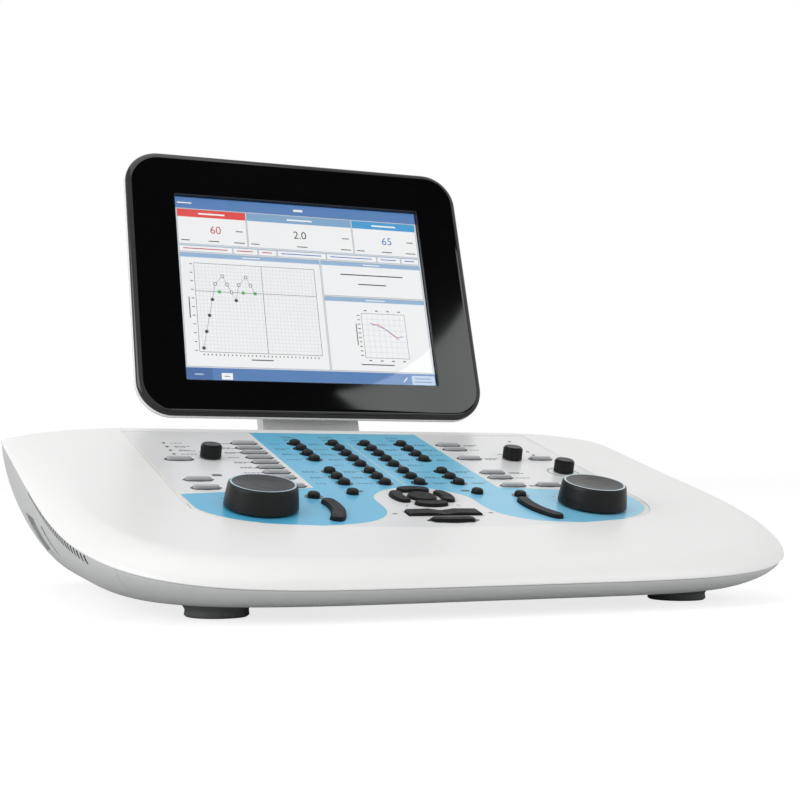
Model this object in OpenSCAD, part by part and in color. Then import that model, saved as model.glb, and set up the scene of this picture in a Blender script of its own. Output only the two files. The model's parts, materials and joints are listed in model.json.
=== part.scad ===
// Desktop audiometer: a wedge-shaped base with a sloping key panel, two large dials,
// and a touch display on a hinged neck. Millimetres, +Z up, front towards -Y.
// The key panel has its own frame: x to the right, y up the slope from the first
// row of keys, z out of the panel.

/* [Base] */
// Width of the base across its widest point
base_w = 496; // [484:2:520]
// Depth of the base from the first key row to the front edge
front_reach = 269; // [264:1:280]
// Depth of the base from the first key row to the rear edge
rear_reach = 125.4; // [120:0.2:132]
// Height of the level rear deck above the table
deck_h = 113.5; // [110:0.5:120]
// Slope of the key panel
slope = 15; // [14:0.25:15.5]
// Height of the white rim of the top cover
rim_h = 11.9; // [11.5:0.1:13]
// Height of the soft edge of the top cover
edge_h = 11.2; // [9:0.1:11.2]
// Width of the soft edge along the front and the rear
edge_in = 19; // [14:1:22]
// Further width of the soft edge at the rear ends of the sides
edge_more = 80; // [40:2:84]
// Wall of the base covers
wall = 2.6; // [2.2:0.1:2.8]
// Height of the rubber feet below the base
foot_h = 7.6; // [6:0.2:9]
// Radius of a foot where it meets the table
foot_r = 19; // [15:0.5:20]
// How far the lower hull draws in at the sides
hull_in_side = 44; // [41:0.5:46]
// How far the lower hull draws in at the front and the rear
hull_in_end = 26; // [22:0.5:28]
// Distance of the side cover joints from the middle
side_split = 198; // [196:0.5:199]

/* [Panel] */
// Width of the key panel
panel_w = 328; // [320:1:340]
// Distance from the first key row to the rear edge of the panel
panel_rear = 34.2; // [30:0.2:36]
// Distance from the first key row to the front edge of the panel
panel_front = 204.8; // [202:0.2:208]
// Corner radius at the front of the panel
panel_r = 45; // [35:1:50]
// Radius of the bowed front edge of the panel
panel_bow = 620; // [540:10:900]
// Thickness of the printed overlay
overlay_t = 0.7; // [0.4:0.1:1]
// Thickness of the panel tray below the overlay
tray_t = 4.3; // [3.6:0.1:5]
// Width of the flange that holds the tray under the top cover
tray_flange = 4; // [3:0.5:5]

/* [Keys] */
// Spacing of the small key rows
row_pitch = 14.65; // [14:0.05:15]
// Extra step between the upper and lower blocks of small keys
block_gap = 3; // [2:0.1:4]
// Distance from the middle to the inner key columns
inner_x = 12.8; // [12:0.1:14]
// Distance from the middle to the outer key columns
outer_x = 42.6; // [41:0.1:45]
// Radius of a small round key
key_r = 4.1; // [3.6:0.1:4.3]
// Height of a key above the panel
key_h = 3.4; // [2.6:0.1:4]
// Travel of a key
key_travel = 1.2; // [0.8:0.1:1.4]
// Gap round a key in its hole
key_gap = 0.4; // [0.3:0.05:0.5]
// Length of the eye-shaped window round a small key
window_l = 12.6; // [12:0.1:13]
// Depth of the eye-shaped window round a small key
window_d = 10.8; // [10.4:0.1:11.4]
// Spacing of the wide key rows
wide_pitch = 13.1; // [12:0.1:13.4]
// Length of a wide key
wide_l = 17.5; // [16:0.5:18]
// Depth of a wide key
wide_d = 5; // [4:0.2:6]
// Outer radius of the ring of arrow keys
nav_r = 22; // [20.5:0.5:22.5]
// Radius of the round key in the middle of the arrow keys
nav_mid_r = 9.8; // [8.5:0.1:10]

/* [Dials] */
// Radius of a large dial at its foot
dial_r = 23.6; // [21:0.2:25]
// Height of a large dial
dial_h = 15.4; // [12:0.2:18]
// Distance from the middle to a large dial
dial_x = 118; // [114:0.5:122]
// Distance of the dials in front of the first key row
dial_y = 160.2; // [158:0.2:162]
// Radius of a small knob
knob_r = 7.5; // [6.5:0.1:8.5]
// Height of a small knob
knob_h = 9.2; // [9:0.5:14]
// Radius of a large dial's shaft
dial_shaft_r = 3; // [2.5:0.1:3.2]
// Radius of a small knob's shaft
knob_shaft_r = 2; // [1.6:0.1:2.4]
// Radial gap of the shafts in their bushings
shaft_gap = 0.05; // [0.03:0.01:0.08]

/* [Display] */
// Width of the visible screen
screen_w = 211.2; // [200:0.2:214]
// Height of the visible screen
screen_h = 158.4; // [150:0.2:162]
// Width of the display housing
display_w = 290; // [286:1:300]
// Height of the display housing
display_h = 225; // [220:1:228]
// Corner radius of the display housing
display_r = 28; // [22:1:34]
// Height of the middle of the housing above the middle of the screen
housing_up = 4.4; // [3:0.2:5]
// Thickness of the display housing at its rim
display_rim_t = 12; // [10:0.5:13]
// Thickness of the display housing at its middle
display_t = 21; // [20:0.5:21.5]
// Backward lean of the display
display_lean = 17.6; // [16:0.1:19]
// Height of the middle of the screen above the first key row
screen_z = 125.7; // [125:0.1:132]
// Distance of the middle of the screen behind the first key row
screen_y = 93.7; // [92:0.1:95]
// Wall of the display shells
display_wall = 2.2; // [1.8:0.1:2.6]

/* [Neck] */
// Width of the neck
neck_w = 81; // [70:1:86]
// Thickness of the neck
neck_t = 14; // [12:0.5:14.5]
// Radius of the hinge pins
pin_r = 3; // [2.4:0.1:3.6]
// Radial gap of the neck round its pins
pin_gap = 0.05; // [0.02:0.01:0.09]
// Distance of the lower hinge behind the first key row
hinge_y = 85; // [84:0.5:87]
// Depth of the lower hinge below the level deck
hinge_drop = 8; // [7.5:0.1:9]
// Height of the upper hinge above the lower rim of the display, along the display
hinge_up = 58; // [54:1:64]
// Distance of the upper hinge behind the screen face
hinge_back = 32; // [31.4:0.2:33]

/* [Hidden] */
$fn = 48;
eps = 0.01;
shape_power = 4.9;
deck_bend_y = 38;
deck_bend_r = 30;
// Middle of the footprint: half way between the front and the display's rearmost ring
footprint_y = (front_reach - screen_y - (display_t - 3) * cos(display_lean)
  - (display_h / 2 - 15 + housing_up) * sin(display_lean)) / 2;
bend_end_y = deck_bend_y + deck_bend_r * sin(slope);
row_z = deck_h - deck_bend_r * (1 - cos(slope)) - deck_bend_y * tan(slope);
mid_y = -11.6;
half_w = base_w / 2;
half_front = front_reach + mid_y;
half_rear = rear_reach - mid_y;
outline_n = 120;
edge_bend = 1.18;
edge_from = -185;
edge_to = 60;
hull_slant = 0.15;
hull_turn_in = 1.26;
hull_turn_down = 1.32;
hull_step = 1.2;
cover_gap = 0.4;
fit_gap = 0.3;
hull_floor = foot_h;

// ---- Frames -------------------------------------------------------------------

module panel_frame() translate([0, footprint_y, row_z]) rotate([slope, 0, 0]) children();
module display_frame() translate([0, footprint_y + screen_y, row_z + screen_z])
  rotate([-display_lean, 0, 0]) children();

// ---- Outlines and lofted shells ------------------------------------------------

// Signed power, which shapes the soft-cornered oval
function soft(v) = sign(v) * pow(abs(v), 2 / shape_power);
// Point of the base outline, drawn in at the sides and at the ends
function oval(t, side, end) = [
  (half_w - side) * soft(cos(t)),
  footprint_y + mid_y + (sin(t) < 0 ? half_front - end : half_rear - end) * soft(sin(t))
];
// Height of the deck at depth y of the footprint
function deck_z(y) = let (d = y - footprint_y)
  d < deck_bend_y ? row_z + d * tan(slope)
  : d < bend_end_y ? deck_h - deck_bend_r + sqrt(pow(deck_bend_r, 2) - pow(bend_end_y - d, 2))
  : deck_h;
function seam_z(y) = deck_z(y) - rim_h;
// Share of the wider soft edge, which grows towards the rear
function edge_share(y) = pow(min(1, max(0, (y - footprint_y - edge_from) / (edge_to - edge_from))), 2);
// Ring of the top cover: part of the way across the soft edge, at height h above the seam
function rim_ring(part, h, skin = 0) = [for (i = [0:outline_n - 1])
  let (t = i * 360 / outline_n,
       side = edge_in + edge_more * edge_share(oval(t, 0, 0)[1]),
       p = oval(t, part * side + skin, part * edge_in + skin))
  [p[0], p[1], seam_z(p[1]) + h]];
// Ring of the lower hull: turn is 0 at the seam and 90 at the flat bottom
function hull_ring(turn, skin) = [for (i = [0:outline_n - 1])
  let (t = i * 360 / outline_n,
       in = 1 - pow(cos(turn), hull_turn_in),
       top = seam_z(oval(t, hull_step, hull_step)[1]) - cover_gap,
       side = hull_in_side + hull_slant * (top - hull_floor),
       p = oval(t, hull_step + skin + side * in, hull_step + skin + hull_in_end * in))
  [p[0], p[1], top + (hull_floor + skin - top) * pow(sin(turn), hull_turn_down)]];
// Ring of a rounded rectangle in x and z, at depth y
function plate_ring(w, h, r, y, n = 12) = [for (c = [0:3]) for (k = [0:n - 1])
  let (a = c * 90 + k * 90 / (n - 1),
       cx = (c == 0 || c == 3 ? 1 : -1) * (w / 2 - r),
       cz = (c < 2 ? 1 : -1) * (h / 2 - r))
  [cx + r * cos(a), y, cz + r * sin(a)]];

// Walls between neighbouring rings, and from the last back to the first in a loop
function ring_walls(n, rings, loop) = [for (k = [0:loop ? rings - 1 : rings - 2]) for (i = [0:n - 1])
  let (j = (i + 1) % n, up = ((k + 1) % rings) * n, a = k * n + i, b = k * n + j, c = up + j, d = up + i)
  each [[a, d, c], [a, c, b]]];
// Lid made of strips from side to side, so that it follows a height that depends on y alone
function strip_lid(n, ring, up) = [for (i = [0:n / 2 - 1])
  let (r0 = (i + 3 * n / 4) % n, r1 = (r0 + 1) % n,
       l0 = (3 * n / 2 - r0) % n, l1 = (3 * n / 2 - r1) % n,
       f = i == 0 ? [l1, r1, r0] : i == n / 2 - 1 ? [l0, r1, r0] : [l0, l1, r1, r0],
       g = [for (v = f) v + ring * n])
  up ? g : [for (k = [len(g) - 1:-1:0]) g[k]]];
function flat_lid(n, ring, up) = [[for (i = [0:n - 1]) ring * n + (up ? n - 1 - i : i)]];

// Solid whose surface runs from the first ring to the last, with a lid on each
module loft(rings, n, flat = false) polyhedron(
  points = [for (r = rings) each r],
  faces = concat(ring_walls(n, len(rings), false),
    flat ? flat_lid(n, 0, false) : strip_lid(n, 0, false),
    flat ? flat_lid(n, len(rings) - 1, true) : strip_lid(n, len(rings) - 1, true)));
// Frame whose section is the loop of rings
module loft_loop(rings, n) polyhedron(
  points = [for (r = rings) each r],
  faces = ring_walls(n, len(rings), true));

// ---- Base covers ---------------------------------------------------------------

// Height of the soft edge above the seam, part of the way across it
function edge_z(turn) = rim_h - edge_h * (1 - pow(sin(turn), edge_bend));
function edge_part(turn) = 1 - pow(cos(turn), edge_bend);
rim_lip = 0.6;

// Screws up from below, as places in x and depth
boss_at = [[178, -20], [-178, -20], [108, -212], [-108, -212], [118, 78], [-118, 78]];
boss_r = 4.2;
screw_r = 1.5;
screw_head_r = 3;
screw_head_h = 2.4;
boss_top_gap = 1.35;
boss_seat = 1.5;
foot_pad_t = 3.6;
boss_z = hull_floor + wall + 6;
thread_l = 10;
foot_at = [157.5, -196.3];
rear_foot_at = [150, 50];
foot_pad_r = foot_r + 4;
foot_stud_r = 4;
tab_y = [-80, -10];
tab_w = 14;
tab_t = 2.2;
tab_reach = 8;
tab_up = 7;
speaker_at = [-70, -30];
speaker_r = 25;
slot_w = 2.4;
slot_l = 32;
slot_pitch = 6;
bay_w = 196;
bay_z = [22, 84];
bay_y = 84;
bay_wall = 2;
// Recess in the left side: its middle, the tilt of the hull there, its size and its lean
recess_at = [-228.5, -14, -63];
recess_tilt = 37.6;
recess_l = 49;
recess_h = 33;
recess_lean = 20;
recess_deep = 8;
pocket_at = -78;
pocket_l = 13;
pocket_h = 22;
pocket_deep = 2;
groove_w = 1.2;
vent_n = 30;
vent_w = 2.1;
vent_pitch = 4.3;
vent_y = -72;
vent_h = 2.6;
vent_grow = 2.4;
vent_drop = 0.8;

// ---- Panel stack, measured out of the panel -------------------------------------

overlay_top = -0.2;
tray_top = overlay_top - overlay_t;
tray_bottom = tray_top - tray_t;
flange_top = -wall - 0.1;
flange_notch = 26;
flange_rear = 2;
window_t = 0.4;
key_foot_top = tray_bottom - 0.3;
key_foot_t = 0.9;
key_foot_in = 1.1;
stem_end = key_foot_top - key_foot_t - 1.4;
stem_r = 1.5;
key_root = tray_bottom - 0.35;
cap_step = 0.6;
foot_out = 1;
switch_w = 6;
switch_top = stem_end - key_travel - 0.3;
board_top = switch_top - 3.5;
board_t = 1.6;
board_w = 300;
board_front = 196;
encoder_h = 5;
bushing_wall = 1.6;
bushing_top = overlay_top + 0.6;
dial_encoder = 18;
knob_encoder = 12;
knob_gap = 0.8;
// Start and length of a shaft, measured from the foot of its dial or knob
shaft_start = board_top + 1.4 - overlay_top - knob_gap;
shaft_l = 3.4 - shaft_start;

function row_y(i) = -i * row_pitch - (i > 4 ? block_gap : 0);
function column(x, rows) = [for (i = rows) [x, row_y(i)]];
function wide_y(i) = -i * wide_pitch;
function wide_column(x, rows) = [for (i = rows) [x, wide_y(i)]];
left_outer = column(-outer_x, [0:3]);
left_inner = column(-inner_x, [0:4]);
right_inner = column(inner_x, [0:4]);
right_outer = column(outer_x, [0:3]);
left_lower = concat(column(-outer_x, [5:7]), column(-inner_x, [5:7]));
right_lower = concat(column(inner_x, [5:7]), column(outer_x, [5:7]));
round_at = [75.1, -136.6];
plain_at = [45.6, -129.6];
wide_x = 81.9;
wide_last = -112.3;
left_wide = concat(wide_column(-wide_x, [0:7]), [[-wide_x, wide_last]]);
edge_x = 141;
left_edge = [for (y = [-44.7, -96, -115.6]) [-edge_x, y]];
right_wide = concat(wide_column(wide_x, [0, 1, 3, 6, 7]),
  [[wide_x, wide_last], [110.3, wide_last + 1], [edge_x + 0.8, wide_y(3)]]);
windowed = concat(left_outer, left_inner, right_inner, right_outer, left_lower, right_lower,
  [[-round_at[0], round_at[1]], round_at]);
plain = [[-plain_at[0], plain_at[1]], plain_at];
wide_keys = concat(left_wide, left_edge, right_wide);
left_knob_at = [-117.4, -39.5];
right_knob_at = [117.4, -39.5];
right_front_knob_at = [141.5, -76.5];
knobs_at = [left_knob_at, right_knob_at, right_front_knob_at];
dials_at = [[-dial_x, -dial_y], [dial_x, -dial_y]];
nav_at = [0, -139.7];
nav_w = 9;
nav_half = 24;
rocker_at = [0, -175.3];
rocker_l = 52;
rocker_d = 10.5;
rocker_axle_r = 1.2;
rocker_axle_gap = 0.05;
rocker_axle_n = (tray_top + tray_bottom) / 2;
front_bar_at = [0, -190.6];
front_bar_l = 30;
front_bar_d = 7.4;
bar_ring = 48.5;
bar_w = 9;
bar_from = -32;
bar_to = 11;
round_leds = concat([for (y = [0.1, -10.2, -20.3, -30.4]) [-edge_x, y]],
  [for (y = [14.4, -17.2, -26.9]) [edge_x + 1.3, y]]);
eye_leds = [[-39, -123.9], [39, -123.9]];
sensor_at = [-125.4, -85];
led_r = 1.2;
led_gap = 0.1;
eye_led = [7, 3];
sensor_size = [6.4, 3.8];
led_lens_t = 0.35;

// ---- Shapes used again ----------------------------------------------------------

module top_shell() loft(concat([rim_ring(1, rim_h - wall / cos(slope), wall)],
  [for (a = [75:-15:30]) rim_ring(edge_part(a), edge_z(a) - wall, wall)], [rim_ring(0, 0, wall)],
  [rim_ring(0, 0, rim_lip)], [for (a = [0:15:90]) rim_ring(edge_part(a), edge_z(a))]), outline_n);
module hull_solid() loft([for (a = [90:-15:0]) hull_ring(a, 0)], outline_n);
module hull_shell() loft(concat([for (a = [90:-15:0]) hull_ring(a, 0)],
  [for (a = [0:15:90]) hull_ring(a, wall)]), outline_n);
// Outline of the key panel, grown by d all round: a bowed front, round corners and a straight rear
function arc_points(x, y, r, from, to, n) =
  [for (i = [0:n]) [x + r * cos(from + (to - from) * i / n), y + r * sin(from + (to - from) * i / n)]];
module panel_2d(d = 0) {
  cx = panel_w / 2 - panel_r;
  bow_y = panel_bow - panel_front;
  cy = bow_y - sqrt(pow(panel_bow - panel_r, 2) - pow(cx, 2));
  turn = atan2(cy - bow_y, cx);
  polygon(concat(arc_points(0, bow_y, panel_bow + d, -180 - turn, turn, 32),
    arc_points(cx, cy, panel_r + d, turn, 0, 12),
    [[panel_w / 2 + d, panel_rear + d], [-panel_w / 2 - d, panel_rear + d]],
    arc_points(-cx, cy, panel_r + d, 180, 180 - turn, 12)));
}
// Eye shape with pointed ends
module eye_2d(l, d) {
  r = (d / 2 + l * l / (2 * d)) / 2;
  intersection_for(s = [-1, 1]) translate([0, s * (r - d / 2)]) circle(r, $fn = 96);
}
module pill_2d(l, d) {
  square([l - d, d], center = true);
  for (s = [-1, 1]) translate([s * (l - d) / 2, 0]) circle(d / 2);
}
// Stretch of a ring with round ends
module arc_2d(ring, w, from, to) {
  tip = ring * [cos(to), sin(to)];
  heel = ring * [cos(from), sin(from)];
  polygon(concat(arc_points(0, 0, ring + w / 2, from, to, 16),
    arc_points(tip[0], tip[1], w / 2, to + 15, to + 165, 8),
    arc_points(0, 0, ring - w / 2, to, from, 16),
    arc_points(heel[0], heel[1], w / 2, from + 195, from + 345, 8)));
}
module rounded_2d(w, h, r) {
  square([w - 2 * r, h], center = true);
  square([w, h - 2 * r], center = true);
  for (x = [-1, 1]) for (y = [-1, 1]) translate([x * (w / 2 - r), y * (h / 2 - r)]) circle(r);
}
// Slab between two depths out of the panel
module layer(from, to) translate([0, 0, from]) linear_extrude(to - from) children();
// Round key with a domed cap, a foot below the tray and a stem
module round_key(r = key_r) {
  rotate_extrude() polygon(concat([[0, stem_end], [stem_r, stem_end], [stem_r, key_foot_top - key_foot_t],
    [r + key_foot_in, key_foot_top - key_foot_t], [r + key_foot_in, key_foot_top], [r, key_foot_top]],
    [for (a = [0:15:90]) [r * (0.45 + 0.55 * cos(a)), key_h - 1.9 * (1 - sin(a))]], [[0, key_h + 0.25]]));
}
module wide_key() {
  layer(key_root, 1.4) pill_2d(wide_l, wide_d);
  layer(1.4, 1.9) pill_2d(wide_l - 2 * cap_step, wide_d - 2 * cap_step);
  layer(key_foot_top - key_foot_t, key_foot_top) pill_2d(wide_l + 2 * foot_out, wide_d + 2 * foot_out);
  layer(stem_end, key_foot_top - key_foot_t + eps) circle(stem_r);
}
module arc_key(ring, w, from, to, top) {
  layer(key_root, top - 0.6) arc_2d(ring, w, from, to);
  layer(top - 0.6, top) arc_2d(ring, w - 1.4, from, to);
  layer(key_foot_top - key_foot_t, key_foot_top) arc_2d(ring, w + 2 * foot_out, from, to);
  rotate((from + to) / 2) translate([ring, 0]) layer(stem_end, key_foot_top - key_foot_t + eps)
    circle(stem_r);
}
module keys_at(places) for (p = places) translate([p[0], p[1], 0]) children();
module bar_place(side) translate([side * dial_x, -dial_y, 0]) mirror([side > 0 ? 1 : 0, 0, 0]) children();
// Every hole of the panel, grown by c
module panel_holes_2d(c) {
  for (p = concat(windowed, plain)) translate(p) circle(key_r + c);
  for (p = wide_keys) translate(p) pill_2d(wide_l + 2 * c, wide_d + 2 * c);
  for (p = knobs_at) translate(p) circle(knob_shaft_r + bushing_wall + c);
  for (p = dials_at) translate(p) circle(dial_shaft_r + bushing_wall + c);
  for (s = [-1, 1]) translate([s * dial_x, -dial_y]) mirror([s > 0 ? 1 : 0, 0])
    arc_2d(bar_ring, bar_w + 2 * c, bar_from, bar_to);
  for (a = [0:90:270]) translate(nav_at) rotate(a)
    arc_2d(nav_r - nav_w / 2, nav_w + 2 * c, -nav_half, nav_half);
  translate(nav_at) circle(nav_mid_r + c);
  translate(rocker_at) square([rocker_l + 2 * c, rocker_d + 2 * c], center = true);
  translate(front_bar_at) pill_2d(front_bar_l + 2 * c, front_bar_d + 2 * c);
  for (p = round_leds) translate(p) circle(led_r + led_gap);
  for (p = eye_leds) translate(p) circle(led_r + led_gap);
  translate(sensor_at) circle(led_r + led_gap);
}
module at_bosses() for (p = boss_at) translate([p[0], footprint_y + p[1], 0]) children();
module at_feet(p) for (s = [-1, 1]) translate([s * p[0], footprint_y + p[1], 0]) children();

// ---- Base covers ---------------------------------------------------------------

module top_cover() color("white") difference() {
  union() {
    top_shell();
    for (p = boss_at) translate([p[0], footprint_y + p[1], boss_z])
      cylinder(h = deck_z(footprint_y + p[1]) - boss_top_gap - boss_z, r = boss_r);
  }
  panel_frame() layer(-12, 8) panel_2d(fit_gap);
  translate([-hinge_cover_w / 2 - fit_gap, footprint_y + panel_rear - 6, deck_h - 12])
    cube([hinge_cover_w + 2 * fit_gap, hinge_cover_end - panel_rear + 6 + fit_gap, 20]);
  at_bosses() translate([0, 0, boss_z - eps]) cylinder(h = thread_l + 2, r = screw_r + 0.1);
}

module bottom_cover() color("silver") difference() {
  union() {
    difference() {
      hull_shell();
      for (s = [-1, 1]) side_space(s, 0);
    }
    at_bosses() translate([0, 0, hull_floor]) cylinder(h = boss_z - 0.2 - hull_floor, r = boss_r + boss_seat);
    at_feet(foot_at) translate([0, 0, foot_h]) cylinder(h = foot_pad_t, r = foot_pad_r);
    at_feet(rear_foot_at) translate([0, 0, foot_h]) cylinder(h = foot_pad_t, r = foot_pad_r);
  }
  at_bosses() {
    translate([0, 0, hull_floor - 1]) cylinder(h = 1.5 + screw_head_h, r = screw_head_r + 0.3);
    translate([0, 0, hull_floor]) cylinder(h = boss_z, r = screw_r + 0.2);
  }
  for (p = [foot_at, rear_foot_at]) at_feet(p) translate([0, 0, foot_h - 1])
    cylinder(h = 4, r = foot_stud_r + 0.1);
  translate([-bay_w / 2 - fit_gap, footprint_y + bay_y - 4, bay_z[0] - fit_gap])
    cube([bay_w + 2 * fit_gap, 60, bay_z[1] - bay_z[0] + 2 * fit_gap]);
  for (i = [-3:3]) translate([speaker_at[0] + i * slot_pitch - slot_w / 2,
      footprint_y + speaker_at[1] - slot_l / 2, hull_floor - 1])
    cube([slot_w, slot_l, wall + 2]);
}

// Space of a side cover, which ends at the front in a slanted joint round the corner
module side_space(s, gap) mirror([s > 0 ? 0 : 1, 0, 0]) translate([0, footprint_y, 0])
  linear_extrude(deck_h) polygon([[side_split + gap, rear_reach + 10], [side_split + gap, -side_split],
    [side_split + 100 + gap, -side_split - 100], [side_split + 100 + gap, rear_reach + 10]]);
// One side of the lower hull, with tabs that reach in over the bottom cover
module side_shell(s) {
  intersection() {
    hull_shell();
    side_space(s, fit_gap);
  }
  for (y = tab_y) mirror([s > 0 ? 0 : 1, 0, 0])
    translate([side_split - tab_reach, footprint_y + y, hull_floor + tab_up])
      cube([2 * tab_reach, tab_w, tab_t]);
}
module vents(s) for (i = [0:vent_n - 1]) {
  y = vent_y - i * vent_pitch;
  x = half_w * pow(1 - pow(abs(y - mid_y) / half_front, shape_power), 1 / shape_power);
  tall = vent_h + vent_grow * i / (vent_n - 1);
  translate([s > 0 ? x - wall - 7 : -half_w - 2, footprint_y + y - vent_w / 2,
      seam_z(footprint_y + y) - cover_gap - vent_drop - tall])
    cube([half_w + 9 - x + wall, vent_w, tall]);
}
// Frame on the slanting left side: x into the base, y along it, z up the slant
module recess_frame() translate([recess_at[0], footprint_y + recess_at[1], row_z + recess_at[2]])
  rotate([0, -recess_tilt, 0]) children();
// Leaning four-sided hole, grown by d all round, cut in to the given depth
module recess_cut(d, deep, out) translate([-out, 0, 0]) rotate([90, 0, 90]) linear_extrude(deep + out)
  polygon([for (c = [[-1, -1], [1, -1], [1, 1], [-1, 1]])
    [c[0] * (recess_l / 2 + d) - c[1] * recess_lean / 2, c[1] * (recess_h / 2 + d)]]);
module left_side_cover() color("silver") difference() {
  union() {
    side_shell(-1);
    intersection() {
      hull_solid();
      recess_frame() recess_cut(wall, recess_deep + wall, 20);
    }
  }
  vents(-1);
  recess_frame() {
    recess_cut(0, recess_deep, 30);
    for (s = [-1, 1]) translate([-20, -recess_l / 2 - s * recess_lean / 2, s * (recess_h / 2 + 4)])
      cube([20.8, recess_l, groove_w]);
    translate([-20, pocket_at - pocket_l / 2, -pocket_h / 2 + 4])
      cube([20 + pocket_deep, pocket_l, pocket_h]);
  }
}
module right_side_cover() color("silver") difference() {
  side_shell(1);
  vents(1);
}

module connector_bay() color("dimgray") difference() {
  intersection() {
    hull_solid();
    translate([-bay_w / 2, footprint_y + bay_y - bay_wall, bay_z[0]])
      cube([bay_w, 80, bay_z[1] - bay_z[0]]);
  }
  translate([-bay_w / 2 + bay_wall, footprint_y + bay_y, bay_z[0] + bay_wall])
    cube([bay_w - 2 * bay_wall, 90, bay_z[1] - bay_z[0] - 2 * bay_wall]);
  at_jacks() rotate([90, 0, 0]) cylinder(h = 20, r = jack_r + jack_wall + 0.1, center = true);
  translate([inlet_x, footprint_y + bay_y, inlet_z]) cube([inlet_w, 20, inlet_h], center = true);
  translate([port_x, footprint_y + bay_y, inlet_z]) cube([port_w, 20, port_h], center = true);
}

jack_r = 3.25;
jack_wall = 2.2;
jack_l = 22;
jack_out = 1.6;
jack_columns = [-28, -10, 10, 28];
jack_rows = [38, 62];
jack_blind = 2;
port_x = -72;
inlet_x = 72;
inlet_z = 50;
inlet_w = 27;
inlet_h = 20;
port_w = 16;
port_h = 15;
socket_deep = 17;
socket_lip = 1.8;
jack_lip = 0.8;
module at_jacks() for (z = jack_rows) for (x = jack_columns)
  translate([x, footprint_y + bay_y, z]) children();
module rear_sockets() color("black") {
  at_jacks() difference() {
    union() {
      translate([0, jack_out, 0]) rotate([90, 0, 0]) cylinder(h = jack_l + jack_out, r = jack_r + jack_wall);
      translate([0, jack_lip, 0]) rotate([90, 0, 0]) cylinder(h = jack_lip, r = jack_r + jack_wall + 1.4);
    }
    translate([0, jack_out + 1, 0]) rotate([90, 0, 0])
      cylinder(h = jack_l + jack_out + 1 - jack_blind, r = jack_r);
  }
  box_socket(inlet_x, inlet_w, inlet_h, 2.6);
  box_socket(port_x, port_w, port_h, 3.4);
}
// Square socket set into the wall of the bay
module box_socket(x, w, h, skin) translate([x, footprint_y + bay_y, inlet_z]) difference() {
  union() {
    translate([0, -socket_deep / 2, 0]) cube([w - 0.4, socket_deep, h - 0.4], center = true);
    translate([0, socket_lip / 2, 0]) cube([w + 4, socket_lip, h + 4], center = true);
  }
  translate([-w / 2 + skin, -socket_deep + 3, -h / 2 + skin])
    cube([w - 2 * skin, socket_deep + 2, h - 2 * skin]);
}

module foot(p) at_feet(p) {
  rotate_extrude() polygon([[0, 0], [foot_r - 1.2, 0], [foot_r, 1], [foot_r - 0.4, foot_h * 0.55],
    [foot_r + 0.8, foot_h * 0.8], [foot_pad_r - 1, foot_h], [0, foot_h]]);
  translate([0, 0, foot_h - 1]) cylinder(h = 3.5, r = foot_stud_r);
}
module front_feet() color("dimgray") foot(foot_at);
module rear_feet() color("dimgray") foot(rear_foot_at);
module case_screws() color("gray") at_bosses() {
  translate([0, 0, hull_floor + 0.4]) cylinder(h = screw_head_h, r = screw_head_r);
  translate([0, 0, hull_floor + screw_head_h])
    cylinder(h = boss_z + thread_l - hull_floor - screw_head_h, r = screw_r);
}

// ---- Key panel -----------------------------------------------------------------

module control_overlay() color("lightgray") panel_frame() layer(tray_top, overlay_top) difference() {
  panel_2d();
  panel_holes_2d(key_gap);
}
module panel_tray() color("gainsboro") panel_frame() difference() {
  union() {
    layer(tray_bottom, flange_top) difference() {
      panel_2d(tray_flange);
      for (s = [-1, 1]) translate([s * panel_w / 2, panel_rear]) rotate(45)
        square(flange_notch, center = true);
      translate([-panel_w, panel_rear + flange_rear]) square([2 * panel_w, tray_flange]);
    }
    layer(tray_bottom, tray_top) panel_2d();
  }
  layer(tray_bottom - 1, tray_top + 1) panel_holes_2d(key_gap);
  translate([rocker_at[0], rocker_at[1], rocker_axle_n]) rotate([90, 0, 0])
    cylinder(h = rocker_d + 8, r = rocker_axle_r + rocker_axle_gap, center = true);
}
module main_board() color("darkgreen") panel_frame() layer(board_top - board_t, board_top) difference() {
  translate([-board_w / 2, -board_front]) square([board_w, board_front + 22]);
  for (p = concat(knobs_at, dials_at)) translate(p) circle(3.4);
}
module key_switches() color("dimgray") panel_frame() {
  for (p = concat(windowed, plain, wide_keys, [nav_at, front_bar_at])) translate(p)
    layer(board_top, switch_top) square(switch_w, center = true);
  for (a = [0:90:270]) translate(nav_at) rotate(a) translate([nav_r - nav_w / 2, 0])
    layer(board_top, switch_top) square(5, center = true);
  for (s = [-1, 1]) bar_place(s) rotate((bar_from + bar_to) / 2) translate([bar_ring, 0])
    layer(board_top, switch_top) square(switch_w, center = true);
  for (s = [-1, 1]) translate([rocker_at[0] + s * rocker_l * 0.36, rocker_at[1]])
    layer(board_top, tray_bottom - 1.4) square(switch_w, center = true);
}
// Window round a long key: an eye, with a rim of its own where the key is wider than the eye
module bar_window_2d(l, d, longer, deeper) difference() {
  union() {
    eye_2d(l + longer, d + deeper);
    pill_2d(l + 2 * key_gap + 1.4, d + 2 * key_gap + 1.4);
  }
  pill_2d(l + 2 * key_gap, d + 2 * key_gap);
}
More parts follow.
